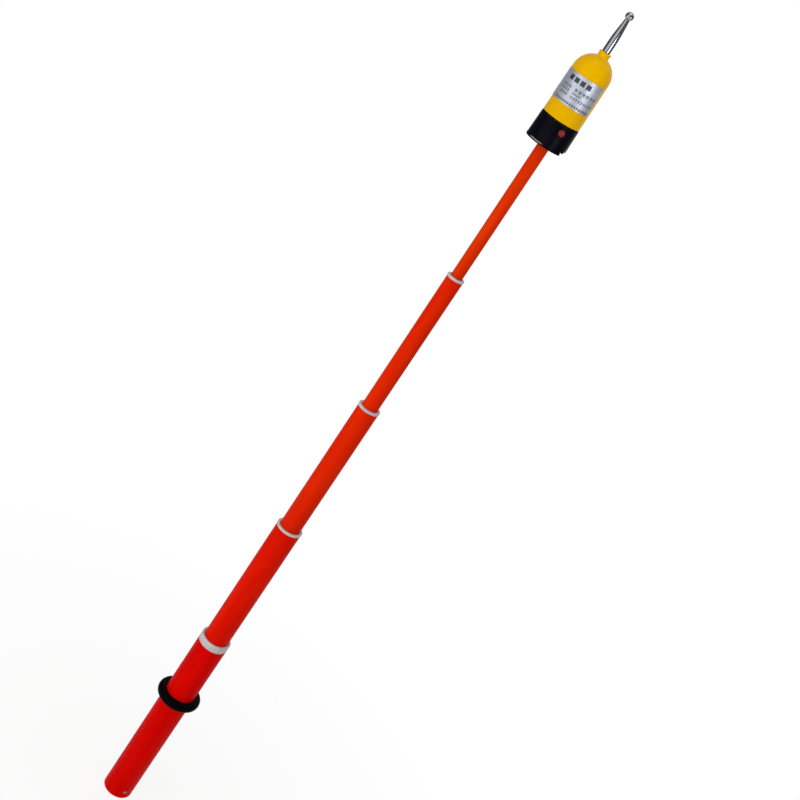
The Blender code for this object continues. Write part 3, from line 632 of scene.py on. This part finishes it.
# %% [markdown]
# ## Cutting holes
#
# The holes and notches of the real pieces are cut or moulded through. A Boolean modifier takes one form
# from another, and a cutter that is never rendered stays out of the finished part. A round hole is cut by a
# drill and a notch by a box.

# %% Cutters
def mesh_object(name, form):
    """Turns a bmesh into an object."""
    mesh = bpy.data.meshes.new(name)
    form.to_mesh(mesh)
    form.free()
    return new_object(name, mesh)


def drill(name, radius, start, end):
    """A round cutter along Z, in millimetres."""
    return turned(name, [(0, end, 0), (radius, end, 0), (radius, start, 0), (0, start, 0)], closed=False)


def box_cutter(name, width, depth, height, rounding=0):
    """A box in millimetres. The rounding is that of its edges along Y."""
    form = bmesh.new()
    size = Matrix.Diagonal((width * MM, depth * MM, height * MM, 1))
    bmesh.ops.create_cube(form, size=1, matrix=size)
    if rounding:
        along_y = [edge for edge in form.edges if edge.verts[0].co.y * edge.verts[1].co.y < 0]
        bmesh.ops.bevel(form, geom=along_y, offset=rounding * MM, segments=4, affect="EDGES", profile=0.5)
    return mesh_object(name, form)


# %% Cutting
def cut(piece, cutter, place):
    """Takes the cutter's form out of the piece, after moving the cutter to its place."""
    settle(cutter).data.transform(place)
    cutter.hide_render = True
    cutter.display_type = "WIRE"
    boolean = piece.modifiers.new(cutter.name, "BOOLEAN")
    boolean.operation = "DIFFERENCE"
    boolean.object = cutter


def pointing_out(angle, height):
    """Turns a form's own Z to point out of the rod, at an angle from the front towards +X."""
    turn = Matrix.Rotation(angle, 4, "Z") @ Matrix.Rotation(math.pi / 2, 4, "X")
    return Matrix.Translation((0, 0, height * MM)) @ turn


# %% [markdown]
# ## The rod
#
# The five tubes have a wall of 1.5 mm and ends that are broken with a file. The radii and the ends are read
# from the CAD nodes, so that a change there needs none here. A hole is drilled through the handle's tube
# and plug for the rivet: its numbers are its radius and how far its two ends are from the rod's axis.

# %% Tubes
TUBE_WALL = 1.5
RIVET_PLACE = pointing_out(math.radians(16), 9.7)
RIVET_HOLE = (1.35, 11, 19)

tube_nodes = ["handle_tube", "tube_2", "tube_3", "tube_4", "tube_5"]
tube_radii, tube_tops = [], []
for node, finish in zip(tube_nodes, [handle_lacquer, *tube_lacquers]):
    radius, bottom, top = millimetres(node)
    bore = radius - TUBE_WALL
    tube_radii.append(radius)
    tube_tops.append(top)
    section = [(bore, top, 0.1), (radius, top, 0.35), (radius, bottom, 0.35), (bore, bottom, 0.1)]
    tube = turned(f"{node}_wall", section)
    if node == "handle_tube":
        cut(tube, drill("tube_rivet_hole", *RIVET_HOLE), RIVET_PLACE)
    dress(tube, node, finish)

# %% [markdown]
# Each white ring caps the mouth of its tube and reaches inside it with a spigot that steadies the next
# tube. The lowest is 8 mm high, the others are thin and stand out a little. The edge that meets the sliding
# tube is rounded, so that it doesn't scrape off the lacquer.

# %% Guide rings
SLIDE, SEAT, FIT = 0.2, 0.25, 0.15

for index in range(4):
    node = f"guide_ring_{index + 1}"
    radius, end, top = millimetres(node)
    mouth = tube_radii[index + 1] + SLIDE
    seat = tube_tops[index] + SEAT
    spigot = tube_radii[index] - TUBE_WALL - FIT
    section = [(mouth, top, 0.5), (radius, top, 0.7), (radius, seat, 0.15), (spigot, seat, 0)]
    section += [(spigot, end, 0.3), (mouth, end, 0.2)]
    dress(turned(f"nylon_ring_{index + 1}", section), node, turned_nylon)

# %% [markdown]
# The guard is a fat rubber ring that keeps the hand below it. Rubber is moulded in two halves, which leaves
# a thin line round the ring where they met: a ridge 0.15 mm high and 0.7 mm wide at its foot.

# %% Hand guard
GUARD_ROUND, RIDGE_RISE, RIDGE_HALF_WIDTH = 3.9, 0.15, 0.35

radius, bottom, top = millimetres("hand_guard")
bore, middle, side = tube_radii[0] + FIT, (bottom + top) / 2, radius - RIDGE_RISE
section = [
    (bore, top, 0.4), (side, top, GUARD_ROUND),
    (side, middle + RIDGE_HALF_WIDTH, 0.3), (radius, middle, 0.1), (side, middle - RIDGE_HALF_WIDTH, 0.3),
    (side, bottom, GUARD_ROUND), (bore, bottom, 0.4),
]
dress(turned("rubber_guard", section), "hand_guard", nitrile_rubber)

# %% [markdown]
# The end plug is a lacquered cup that closes the handle. Its rivet is a blind one: a low dome with a small
# pit in the middle, where its pin was pulled and snapped. The heights in the rivet's section are distances
# from the rod's axis.

# %% End plug and rivet
PLUG_FACE, PLUG_WALL = 3, 2.4
PIT_RADIUS, PIT_FLOOR, PIT_EDGE = 0.45, 0.3, 0.6
RIVET_RADIUS, RIVET_RISE, RIVET_SHOULDER, RIVET_EDGE = 1.8, 0.66, 0.5, 0.05
SHANK_RADIUS, SHANK_END = 1.2, 12.2

radius, bottom, top = millimetres("handle_end_plug")
bore = radius - PLUG_WALL
section = [(0, PLUG_FACE, 0), (bore, PLUG_FACE, 0.5), (bore, top, 0.2), (radius, top, 0.3)]
section += [(radius, bottom, 0.4), (0, bottom, 0)]
plug = turned("end_plug_cup", section, closed=False)
cut(plug, drill("plug_rivet_hole", *RIVET_HOLE), RIVET_PLACE)
dress(plug, "handle_end_plug", handle_lacquer)

seat = tube_radii[0] + FIT
section = [
    (0, seat + PIT_FLOOR, 0), (PIT_RADIUS, seat + PIT_FLOOR, 0.1), (PIT_EDGE, seat + RIVET_RISE, 0.12),
    (SHANK_RADIUS, seat + RIVET_SHOULDER, 0.6), (RIVET_RADIUS, seat + RIVET_EDGE, 0.1),
    (SHANK_RADIUS, seat, 0), (SHANK_RADIUS, SHANK_END, 0.2), (0, SHANK_END, 0),
]
rivet = settle(turned("blind_rivet", section, closed=False))
rivet.data.transform(RIVET_PLACE)
dress(rivet, "end_plug_rivet", worn_rivet)

# %% [markdown]
# ## The head
#
# The black cup is one moulding: an outer wall with a slight draft, a bead round its lower edge, a skirt
# that shades the lamps, a floor, and a threaded socket in the middle for the rod. The section goes round
# the form once: from the top of the socket across the floor, up the inside of the wall and down its
# outside, and back under the floor to the thread.

# %% Black cup
_, BASE_BOTTOM, BASE_TOP = millimetres("base_housing")
BASE_BORE, BASE_TOP_RADIUS = 16.85, 18.55
BEAD_MEETS_WALL, BEAD_RADIUS, BEAD_TOP, BEAD_SLOPE = 19.01, 19.25, BASE_BOTTOM + 1.9, 0.4
SKIRT_BORE, FLOOR_BOTTOM, FLOOR_TOP = 17.05, BASE_BOTTOM + 8, BASE_BOTTOM + 10.4
BUTTON_HEIGHT = BASE_TOP - 6.2
BOARD_SEAT, SOCKET_BOTTOM = BUTTON_HEIGHT - 6.55, BASE_BOTTOM + 2
SOCKET_END, SOCKET_TOP = SOCKET_BOTTOM + 11.5, SOCKET_BOTTOM + 14
SOCKET_RADIUS, THREAD_RADIUS = 8.0, 4.15
BOARD_SEAT_RADIUS, SOCKET_TOP_RADIUS = 7.6, 6.2

section = [
    (0, SOCKET_TOP, 0), (SOCKET_TOP_RADIUS, SOCKET_TOP, 0.4), (SOCKET_TOP_RADIUS, BOARD_SEAT, 0),
    (BOARD_SEAT_RADIUS, BOARD_SEAT, 0.3), (BOARD_SEAT_RADIUS, FLOOR_TOP, 0.4),
    (BASE_BORE, FLOOR_TOP, 0.5), (BASE_BORE, BASE_TOP, 0.2), (BASE_TOP_RADIUS, BASE_TOP, 0.5),
    (BEAD_MEETS_WALL, BEAD_TOP + BEAD_SLOPE, 0.3), (BEAD_RADIUS, BEAD_TOP, 0.3),
    (BEAD_RADIUS, BASE_BOTTOM, 0.6), (SKIRT_BORE, BASE_BOTTOM, 0.4), (SKIRT_BORE, FLOOR_BOTTOM, 0.8),
    (SOCKET_RADIUS, FLOOR_BOTTOM, 0.6), (SOCKET_RADIUS, SOCKET_BOTTOM, 0.4),
    (THREAD_RADIUS, SOCKET_BOTTOM, 0.3), (THREAD_RADIUS, SOCKET_END, 0.2), (0, SOCKET_END, 0),
]
cup = turned("black_cup", section, closed=False)
print(cup.name, len(section), "corners")

# %% [markdown]
# A notch in the skirt lets sound and water out. The hole for the button has a shallow, wide mouth that
# leads the cap in. Two holes in the floor hold the lamps and three small ones let out the sound of the
# buzzer.

# %% Notch and holes of the cup
NOTCH_ANGLE, NOTCH_WIDTH, NOTCH_DEPTH, NOTCH_ROUND = math.radians(62), 19.0, 4.0, 0.8
NOTCH_REACH, NOTCH_OFFSET = 10, 19
BUTTON_RADIUS, BUTTON_PLAY, MOUTH_PLAY = 3.2, 0.2, 0.7
HOLE_START, MOUTH_FLOOR, MOUTH_EDGE, HOLE_END = 14, 18.2, 18.6, 25
LAMP_OFFSET, LAMP_HOLE_RADIUS = (BOARD_SEAT_RADIUS + BASE_BORE) / 2, 2.7
SOUND_HOLE_RADIUS, SOUND_HOLE_PITCH, SOUND_HOLE_OFFSET = 0.8, 2.6, 11.4
DRILL_MARGIN = 2

notch = box_cutter("skirt_notch", NOTCH_WIDTH, NOTCH_REACH, 2 * NOTCH_DEPTH, NOTCH_ROUND)
out_of_skirt = Matrix.Translation((0, -NOTCH_OFFSET * MM, BASE_BOTTOM * MM))
cut(cup, notch, Matrix.Rotation(NOTCH_ANGLE, 4, "Z") @ out_of_skirt)

through_floor = (FLOOR_BOTTOM - DRILL_MARGIN, FLOOR_TOP + DRILL_MARGIN)
mouth, bore = BUTTON_RADIUS + MOUTH_PLAY, BUTTON_RADIUS + BUTTON_PLAY
hole = [(0, HOLE_END, 0), (mouth, HOLE_END, 0), (mouth, MOUTH_EDGE, 0), (bore, MOUTH_FLOOR, 0)]
hole += [(bore, HOLE_START, 0), (0, HOLE_START, 0)]
cut(cup, turned("button_hole", hole, closed=False), pointing_out(0, BUTTON_HEIGHT))
for side in (-1, 1):
    hole = drill(f"lamp_hole_{side + 1}", LAMP_HOLE_RADIUS, *through_floor)
    cut(cup, hole, Matrix.Translation((side * LAMP_OFFSET * MM, 0, 0)))
for step in (-1, 0, 1):
    hole = drill(f"sound_hole_{step + 1}", SOUND_HOLE_RADIUS, *through_floor)
    cut(cup, hole, Matrix.Translation((step * SOUND_HOLE_PITCH * MM, SOUND_HOLE_OFFSET * MM, 0)))
dress(cup, "base_housing", black_abs)

# %% [markdown]
# The button is a red cap that stands proud of the wall, with a shallow dish for the fingertip. A flange
# behind the wall keeps it in, and its stem reaches for the switch. The heights in its section are distances
# from the rod's axis, because it is turned upright first and then pointed out of the cup.

# %% Button
CAP_RADIUS = BUTTON_RADIUS - 0.2
DISH_RADIUS, DISH_EDGE, DISH_DEPTH, DISH_RISE, CAP_DROP = 1.4, 2.3, 0.18, 0.02, 0.05
FLANGE_RADIUS, FLANGE_FRONT, FLANGE_BACK, STEM_RADIUS = 4.2, 16.07, 15.07, 1.3

front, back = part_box("test_button")
face, stem_tip = -front.y / MM, -back.y / MM
section = [
    (0, face - DISH_DEPTH, 0), (DISH_RADIUS, face - DISH_DEPTH + DISH_RISE, 2.0),
    (DISH_EDGE, face, 0.5), (CAP_RADIUS, face - CAP_DROP, 0.5), (CAP_RADIUS, FLANGE_FRONT, 0.1),
    (FLANGE_RADIUS, FLANGE_FRONT, 0.2), (FLANGE_RADIUS, FLANGE_BACK, 0.2),
    (STEM_RADIUS, FLANGE_BACK, 0.2), (STEM_RADIUS, stem_tip, 0.2), (0, stem_tip, 0),
]
button = settle(turned("red_button", section, closed=False))
button.data.transform(pointing_out(0, BUTTON_HEIGHT))
dress(button, "test_button", red_abs)

# %% [markdown]
# The lamps are bullets of epoxy with a flange, cast in a mould. They hang through the floor of the cup, so
# that their round tips shine down out of the skirt.

# %% Signal lamps
LENS_RADIUS, LAMP_FLANGE_RADIUS, LAMP_FLANGE_HEIGHT = 2.5, 2.9, 0.6

for node, side in (("signal_lamp_left", -1), ("signal_lamp_right", 1)):
    _, tip, top = millimetres(node)
    flange = top - LAMP_FLANGE_HEIGHT
    section = [(0, top, 0), (LAMP_FLANGE_RADIUS, top, 0.15), (LAMP_FLANGE_RADIUS, flange, 0.15)]
    section += [(LENS_RADIUS, flange, 0), *arc_corners(tip + LENS_RADIUS, LENS_RADIUS, 0, -90, 10)]
    lamp = settle(turned(f"{node}_lens", section, closed=False))
    lamp.data.transform(Matrix.Translation((side * LAMP_OFFSET * MM, 0, 0)))
    dress(lamp, node, lamp_epoxy)

# %% [markdown]
# Behind the button sits its return spring, a coil with half a turn lying flat at each end. A coil is a
# helix that is drawn as a curve, with a round bevel for the wire.

# %% Return spring
SPRING_WIRE, SPRING_TURNS, POINTS_PER_TURN = 0.4 * MM, 3.5, 32
FLAT_TURNS = 0.5

front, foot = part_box("button_spring")
spring_length = foot.y - front.y
coil_radius = (foot.x - front.x - SPRING_WIRE) / 2
path = bpy.data.curves.new("spring_path", "CURVE")
path.dimensions = "3D"
path.bevel_depth = SPRING_WIRE / 2
path.bevel_resolution = 3
path.use_fill_caps = True
helix = path.splines.new("POLY")
helix.points.add(round(SPRING_TURNS * POINTS_PER_TURN))
for index, point in enumerate(helix.points):
    turns = index / POINTS_PER_TURN
    risen = (turns - FLAT_TURNS) / (SPRING_TURNS - 2 * FLAT_TURNS)
    climb = min(max(risen, 0), 1) * (spring_length - SPRING_WIRE)
    across, up = coil_radius * math.cos(math.tau * turns), coil_radius * math.sin(math.tau * turns)
    point.co = (across, foot.y - SPRING_WIRE / 2 - climb, BUTTON_HEIGHT * MM + up, 1)
drawn = new_object("spring_path", path)
coil_mesh = bpy.data.meshes.new_from_object(drawn.evaluated_get(bpy.context.evaluated_depsgraph_get()))
bpy.data.objects.remove(drawn)
return_spring = new_object("return_spring", coil_mesh)
dress(return_spring, "button_spring", drawn_wire)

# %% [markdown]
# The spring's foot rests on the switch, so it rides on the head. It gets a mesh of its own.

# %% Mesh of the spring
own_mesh(return_spring)

# %% [markdown]
# The dome plugs into the cup with a thin spigot, and a rubber seal fills the joint. Its wall leans in by
# half a millimetre, so that the moulding comes off its core, and ends in a half ball with a collar for the
# contact. A boss inside takes the nut. The spigot is cut away in front, where the button's flange needs
# room.

# %% Dome
DOME_RADIUS, DOME_FOOT_RADIUS, DOME_BORE, SPIGOT_RADIUS = 17.75, 18.25, 15.75, 16.65
DOME_SHOULDER, SPIGOT_BOTTOM = BASE_TOP + 1.3, BASE_TOP - 7.5
DOME_CENTRE = DOME_SHOULDER + 44.2
_, _, COLLAR_TOP = millimetres("dome_housing")
COLLAR_RADIUS, COLLAR_LIP, COLLAR_SLOPE = 5.6, 1.5, 0.4
NECK_RADIUS, NECK_FOOT = 5.2, COLLAR_TOP - 4.4
BOSS_RADIUS, BOSS_DROP, STUD_HOLE_RADIUS = 5.0, 1.4, 2.7
NECK_FILLET_DEG = 1
BUTTON_ROOM = (9.2, 7.2, 11.8)

neck_angle = math.degrees(math.acos(NECK_RADIUS / DOME_RADIUS))
boss_angle = math.degrees(math.acos(BOSS_RADIUS / DOME_BORE))
boss_seat = DOME_CENTRE + math.sqrt(DOME_BORE**2 - BOSS_RADIUS**2) - BOSS_DROP
collar_foot = COLLAR_TOP - COLLAR_LIP
section = [
    (STUD_HOLE_RADIUS, COLLAR_TOP, 0.2), (COLLAR_RADIUS, COLLAR_TOP, 0.8),
    (COLLAR_RADIUS, collar_foot, 0.35), (NECK_RADIUS, collar_foot - COLLAR_SLOPE, 0.3),
    (NECK_RADIUS, NECK_FOOT, 0), *arc_corners(DOME_CENTRE, DOME_RADIUS, neck_angle - NECK_FILLET_DEG, 0),
    (DOME_FOOT_RADIUS, DOME_SHOULDER, 0.3), (SPIGOT_RADIUS, DOME_SHOULDER, 0),
    (SPIGOT_RADIUS, SPIGOT_BOTTOM, 0.3), (DOME_BORE, SPIGOT_BOTTOM, 0.2),
    *arc_corners(DOME_CENTRE, DOME_BORE, 0, boss_angle, 16),
    (BOSS_RADIUS, boss_seat, 0.2), (STUD_HOLE_RADIUS, boss_seat, 0.2),
]
dome = turned("yellow_dome", section)
behind_button = Matrix.Translation((0, -SPIGOT_RADIUS * MM, SPIGOT_BOTTOM * MM))
cut(dome, box_cutter("spigot_notch", *BUTTON_ROOM), behind_button)
dress(dome, "dome_housing", yellow_abs)

# %% [markdown]
# The seal is a flat rubber ring that is slipped over the spigot and squeezed between the cup and the dome.

# %% Seal
radius, bottom, top = millimetres("seal_ring")
bore = SPIGOT_RADIUS + SLIDE
section = [(bore, top, 0.2), (radius, top, 0.3), (radius, bottom, 0.3), (bore, bottom, 0.2)]
dress(turned("rubber_seal", section), "seal_ring", nitrile_rubber)

# %% [markdown]
# The label is a sheet that bends round the dome's tapered wall. Two functions say how far from the axis it
# lies at a height, and how far a rounded corner cuts its edge back.

# %% Form of the label
LABEL_START, LABEL_END = math.radians(-126), math.radians(40)
LABEL_CORNER, LABEL_GAP, LABEL_THICKNESS = 1.0, 0.12, 0.2


def dome_radius_at(height):
    """The outer radius of the dome's tapered wall."""
    share = (DOME_CENTRE - height) / (DOME_CENTRE - DOME_SHOULDER)
    return DOME_RADIUS + (DOME_FOOT_RADIUS - DOME_RADIUS) * share


def corner_cut(distance):
    """How far the label's edge is cut back at that distance from its end."""
    inside = max(LABEL_CORNER - distance, 0)
    return LABEL_CORNER - math.sqrt(LABEL_CORNER**2 - inside**2)


# %% [markdown]
# It is built in narrow columns, each with its own lower and upper end. They are closest at the ends of the
# sheet, so that its corners come out round, and a Solidify modifier gives it a thickness.

# %% Label
LABEL_COLUMNS = 90
CORNER_COLUMNS = [0.0, 0.03, 0.1, 0.22, 0.4, 0.65, LABEL_CORNER]

span = (LABEL_END - LABEL_START) * LABEL_RADIUS_MM
straight = span - 2 * LABEL_CORNER
columns = list(CORNER_COLUMNS)
columns += [LABEL_CORNER + straight * step / LABEL_COLUMNS for step in range(1, LABEL_COLUMNS)]
columns += [span - distance for distance in reversed(CORNER_COLUMNS)]
label_form = bmesh.new()
pairs = []
for distance in columns:
    angle = LABEL_START + distance / LABEL_RADIUS_MM
    back = corner_cut(min(distance, span - distance))
    pair = []
    for height in (LABEL_BOTTOM + back, LABEL_TOP - back):
        reach = (dome_radius_at(height) + LABEL_GAP) * MM
        pair.append(label_form.verts.new((reach * math.sin(angle), -reach * math.cos(angle), height * MM)))
    pairs.append(pair)
for left, right in zip(pairs, pairs[1:]):
    label_form.faces.new((left[0], right[0], right[1], left[1]))
foil_label = mesh_object("foil_label", label_form)
thickness = foil_label.modifiers.new("Thickness", "SOLIDIFY")
thickness.thickness = LABEL_THICKNESS * MM
thickness.offset = 1
dress(foil_label, "label", printed_foil)

# %% [markdown]
# The contact is one turned rod: a straight foot, a long slender taper and a ball. A wide rounding at the
# shoulder gives the taper the gentle swell that the real one has.

# %% Contact electrode
BALL_RADIUS, WAIST_RADIUS, STUD_RADIUS = 3.8, 2.2, 2.5
SHOULDER_RISE, SHOULDER_ROUND = 14, 110

radius, end, tip = millimetres("electrode")
foot = COLLAR_TOP + SEAT
waist = math.degrees(math.acos(WAIST_RADIUS / BALL_RADIUS))
section = arc_corners(tip - BALL_RADIUS, BALL_RADIUS, 90, -waist)
section += [(radius, foot + SHOULDER_RISE, SHOULDER_ROUND), (radius, foot, 0.3), (STUD_RADIUS, foot, 0)]
section += [(STUD_RADIUS, end, 0.4), (0, end, 0)]
dress(turned("chrome_contact", section, closed=False), "electrode", chrome_plate)

# %% [markdown]
# ## What stays as it is
#
# The inner pieces keep their CAD forms, which are right for what hardly shows. Each one still gets the
# finish of its real material.

# %% Finishes of the inner pieces
finish_of_slot = {
    "white_nylon": turned_nylon,
    "black_plastic": silica_epoxy,
    "green_board": solder_resist,
    "nickel": nickel_plate,
    "brass": turned_brass,
    "spring_steel": drawn_wire,
}
inner_nodes = [node for node, piece in frame["nodes"].items() if not piece.hide_render]
for node in inner_nodes:
    materials = frame["nodes"][node].data.materials
    materials.clear()
    materials.append(finish_of_slot[slot_of_node[node]])
print(len(inner_nodes), "CAD nodes show")

# %% [markdown]
# ## Studio
#
# The photograph has a white ground and soft light from the left, so that the right side of each tube is
# deeper in colour. White isn't made with more light. The camera, and a reflection, see a white world, while
# the surfaces are lit by a much dimmer one, and a Light Path node tells the two apart.

# %% World
AMBIENT = 0.52
WHITE = (1, 1, 1, 1)


def sees_background(tree):
    """1 for a ray from the camera, from a mirror or through glass, and 0 for light on a surface."""
    path = add_node(tree, "ShaderNodeLightPath").outputs
    camera_or_mirror = add_node(
        tree, "ShaderNodeMath", {0: path["Is Camera Ray"], 1: path["Is Glossy Ray"]}, operation="MAXIMUM"
    )
    return add_node(
        tree, "ShaderNodeMath", {0: camera_or_mirror.outputs[0], 1: path["Is Transmission Ray"]},
        operation="MAXIMUM",
    ).outputs[0]


bpy.context.scene.view_settings.view_transform = "Standard"
world = bpy.data.worlds.new("studio")
world.use_nodes = True
bpy.context.scene.world = world
room = world.node_tree
room.nodes.clear()
dim = add_node(room, "ShaderNodeBackground", {"Color": WHITE, "Strength": AMBIENT}).outputs[0]
white = add_node(room, "ShaderNodeBackground", {"Color": WHITE, "Strength": 1}).outputs[0]
choice = add_node(room, "ShaderNodeMixShader", {0: sees_background(room), 1: dim, 2: white})
add_node(room, "ShaderNodeOutputWorld", {"Surface": choice.outputs[0]})
print("world", world.name)

# %% [markdown]
# The set round the tool glows in part, but it isn't there to light the tool. So its materials start empty,
# and Cycles is told not to sample them as lamps.

# %% Material of the set
def stage_material(name):
    """A material for what isn't part of the tool, with no nodes yet."""
    material = bpy.data.materials.new(name)
    material.use_nodes = True
    material.node_tree.nodes.clear()
    material.cycles.emission_sampling = "NONE"
    return material


# %% [markdown]
# The floor is a white sheet. Close to the handle's end it is a matt surface that keeps a faint shadow, and
# it turns to the white of the background within half a metre, so that its far edge never shows. From below
# it is clear, so that the underside of the tool can be looked at.

# %% Floor
FLOOR_SIZE, FLOOR_CELLS = 30, 8
FADE_START, FADE_END = 0.05, 0.5
GLOW_AT_HANDLE = 0.85

floor_form = bmesh.new()
bmesh.ops.create_grid(floor_form, x_segments=FLOOR_CELLS, y_segments=FLOOR_CELLS, size=FLOOR_SIZE / 2)
floor = mesh_object("floor", floor_form)

paper_sheet = stage_material("white paper sheet")
tree = paper_sheet.node_tree
place = add_node(tree, "ShaderNodeTexCoord").outputs["Object"]
distance = add_node(tree, "ShaderNodeVectorMath", {0: place}, operation="LENGTH").outputs["Value"]
away = add_node(
    tree, "ShaderNodeMapRange",
    {"Value": distance, "From Min": FADE_START, "From Max": FADE_END, "To Min": GLOW_AT_HANDLE},
).outputs[0]
glow_share = add_node(
    tree, "ShaderNodeMath", {0: away, 1: sees_background(tree)}, operation="MULTIPLY"
).outputs[0]
paper = add_node(tree, "ShaderNodeBsdfDiffuse", {"Color": linear("F4F4F2")}).outputs[0]
glow = add_node(tree, "ShaderNodeEmission", {"Color": WHITE, "Strength": 1}).outputs[0]
sheet = add_node(tree, "ShaderNodeMixShader", {0: glow_share, 1: paper, 2: glow}).outputs[0]
clear = add_node(tree, "ShaderNodeBsdfTransparent").outputs[0]
under = add_node(tree, "ShaderNodeNewGeometry").outputs["Backfacing"]
two_sided = add_node(tree, "ShaderNodeMixShader", {0: under, 1: sheet, 2: clear})
add_node(tree, "ShaderNodeOutputMaterial", {"Surface": two_sided.outputs[0]})
floor.data.materials.append(paper_sheet)
print("floor", FLOOR_SIZE, "m")

# %% [markdown]
# The lamps stand at an angle from the line between the rod and the camera, counted to the camera's right.
# The left one is an area light two metres tall, which lights the whole rod alike. The right one is for the
# head alone: a photographer puts a honeycomb before such a lamp, and an area light has a spread for it. A
# third hangs over the rod and lights the upper sides of the rings.

# %% Lamps
def beside_rod(angle_deg, distance, height):
    """A place at that angle to the right of the camera, seen from the rod."""
    towards = Vector((CAMERA_PLACE[0], CAMERA_PLACE[1], 0)).normalized()
    return Matrix.Rotation(math.radians(angle_deg), 3, "Z") @ towards * distance + Vector((0, 0, height))


def soft_lamp(name, place, size, power, aim_height=0.5, spread_deg=180):
    """An area light, in metres and watts. Its place is an angle, a distance and a height beside the rod."""
    light = bpy.data.lights.new(name, "AREA")
    light.shape = "RECTANGLE"
    light.size, light.size_y = size
    light.energy = power
    light.spread = math.radians(spread_deg)
    lamp = new_object(name, light)
    lamp.location = beside_rod(*place)
    aim = Vector((0, 0, aim_height)) - lamp.location
    lamp.rotation_euler = aim.to_track_quat("-Z", "Y").to_euler()
    print(name, power, "W")


soft_lamp("lamp_left", place=(-30, 1.5, 0.75), size=(1.9, 2.0), power=15.7)
soft_lamp("lamp_right", place=(44, 1.5, 0.8), size=(0.9, 0.3), power=0.34, aim_height=1.0, spread_deg=24)
soft_lamp("lamp_top", place=(-20, 0.5, 2.3), size=(1.0, 1.0), power=5.5, aim_height=0.85)

# %% [markdown]
# In a white room every glossy black turns grey and chrome has no shape, so dark grey cloth hangs round the
# set behind the lamps, and the far side stays white. Only reflections see this cloth.

# %% Grey cloth
WALL_DISTANCE, WALL_FOOT, WALL_TOP, WALL_STEPS = 2.3, 0.002, 3.2, 40
WALL_START, WALL_END = -150, 125
WALL_GREY = 0.16

wall_form = bmesh.new()
rows = []
for step in range(WALL_STEPS + 1):
    angle = WALL_START + (WALL_END - WALL_START) * step / WALL_STEPS
    ends = [beside_rod(angle, WALL_DISTANCE, height) for height in (WALL_FOOT, WALL_TOP)]
    rows.append([wall_form.verts.new(end) for end in ends])
for left, right in zip(rows, rows[1:]):
    wall_form.faces.new((left[0], left[1], right[1], right[0]))
cloth_wall = mesh_object("grey_cloth_wall", wall_form)
cloth_wall.visible_camera = cloth_wall.visible_diffuse = False
cloth_wall.visible_shadow = cloth_wall.visible_transmission = False
grey_cloth = stage_material("grey studio cloth")
cloth = add_node(grey_cloth.node_tree, "ShaderNodeEmission", {"Color": WHITE, "Strength": WALL_GREY})
add_node(grey_cloth.node_tree, "ShaderNodeOutputMaterial", {"Surface": cloth.outputs[0]})
cloth_wall.data.materials.append(grey_cloth)
print("cloth", WALL_END - WALL_START, "degrees round the set")
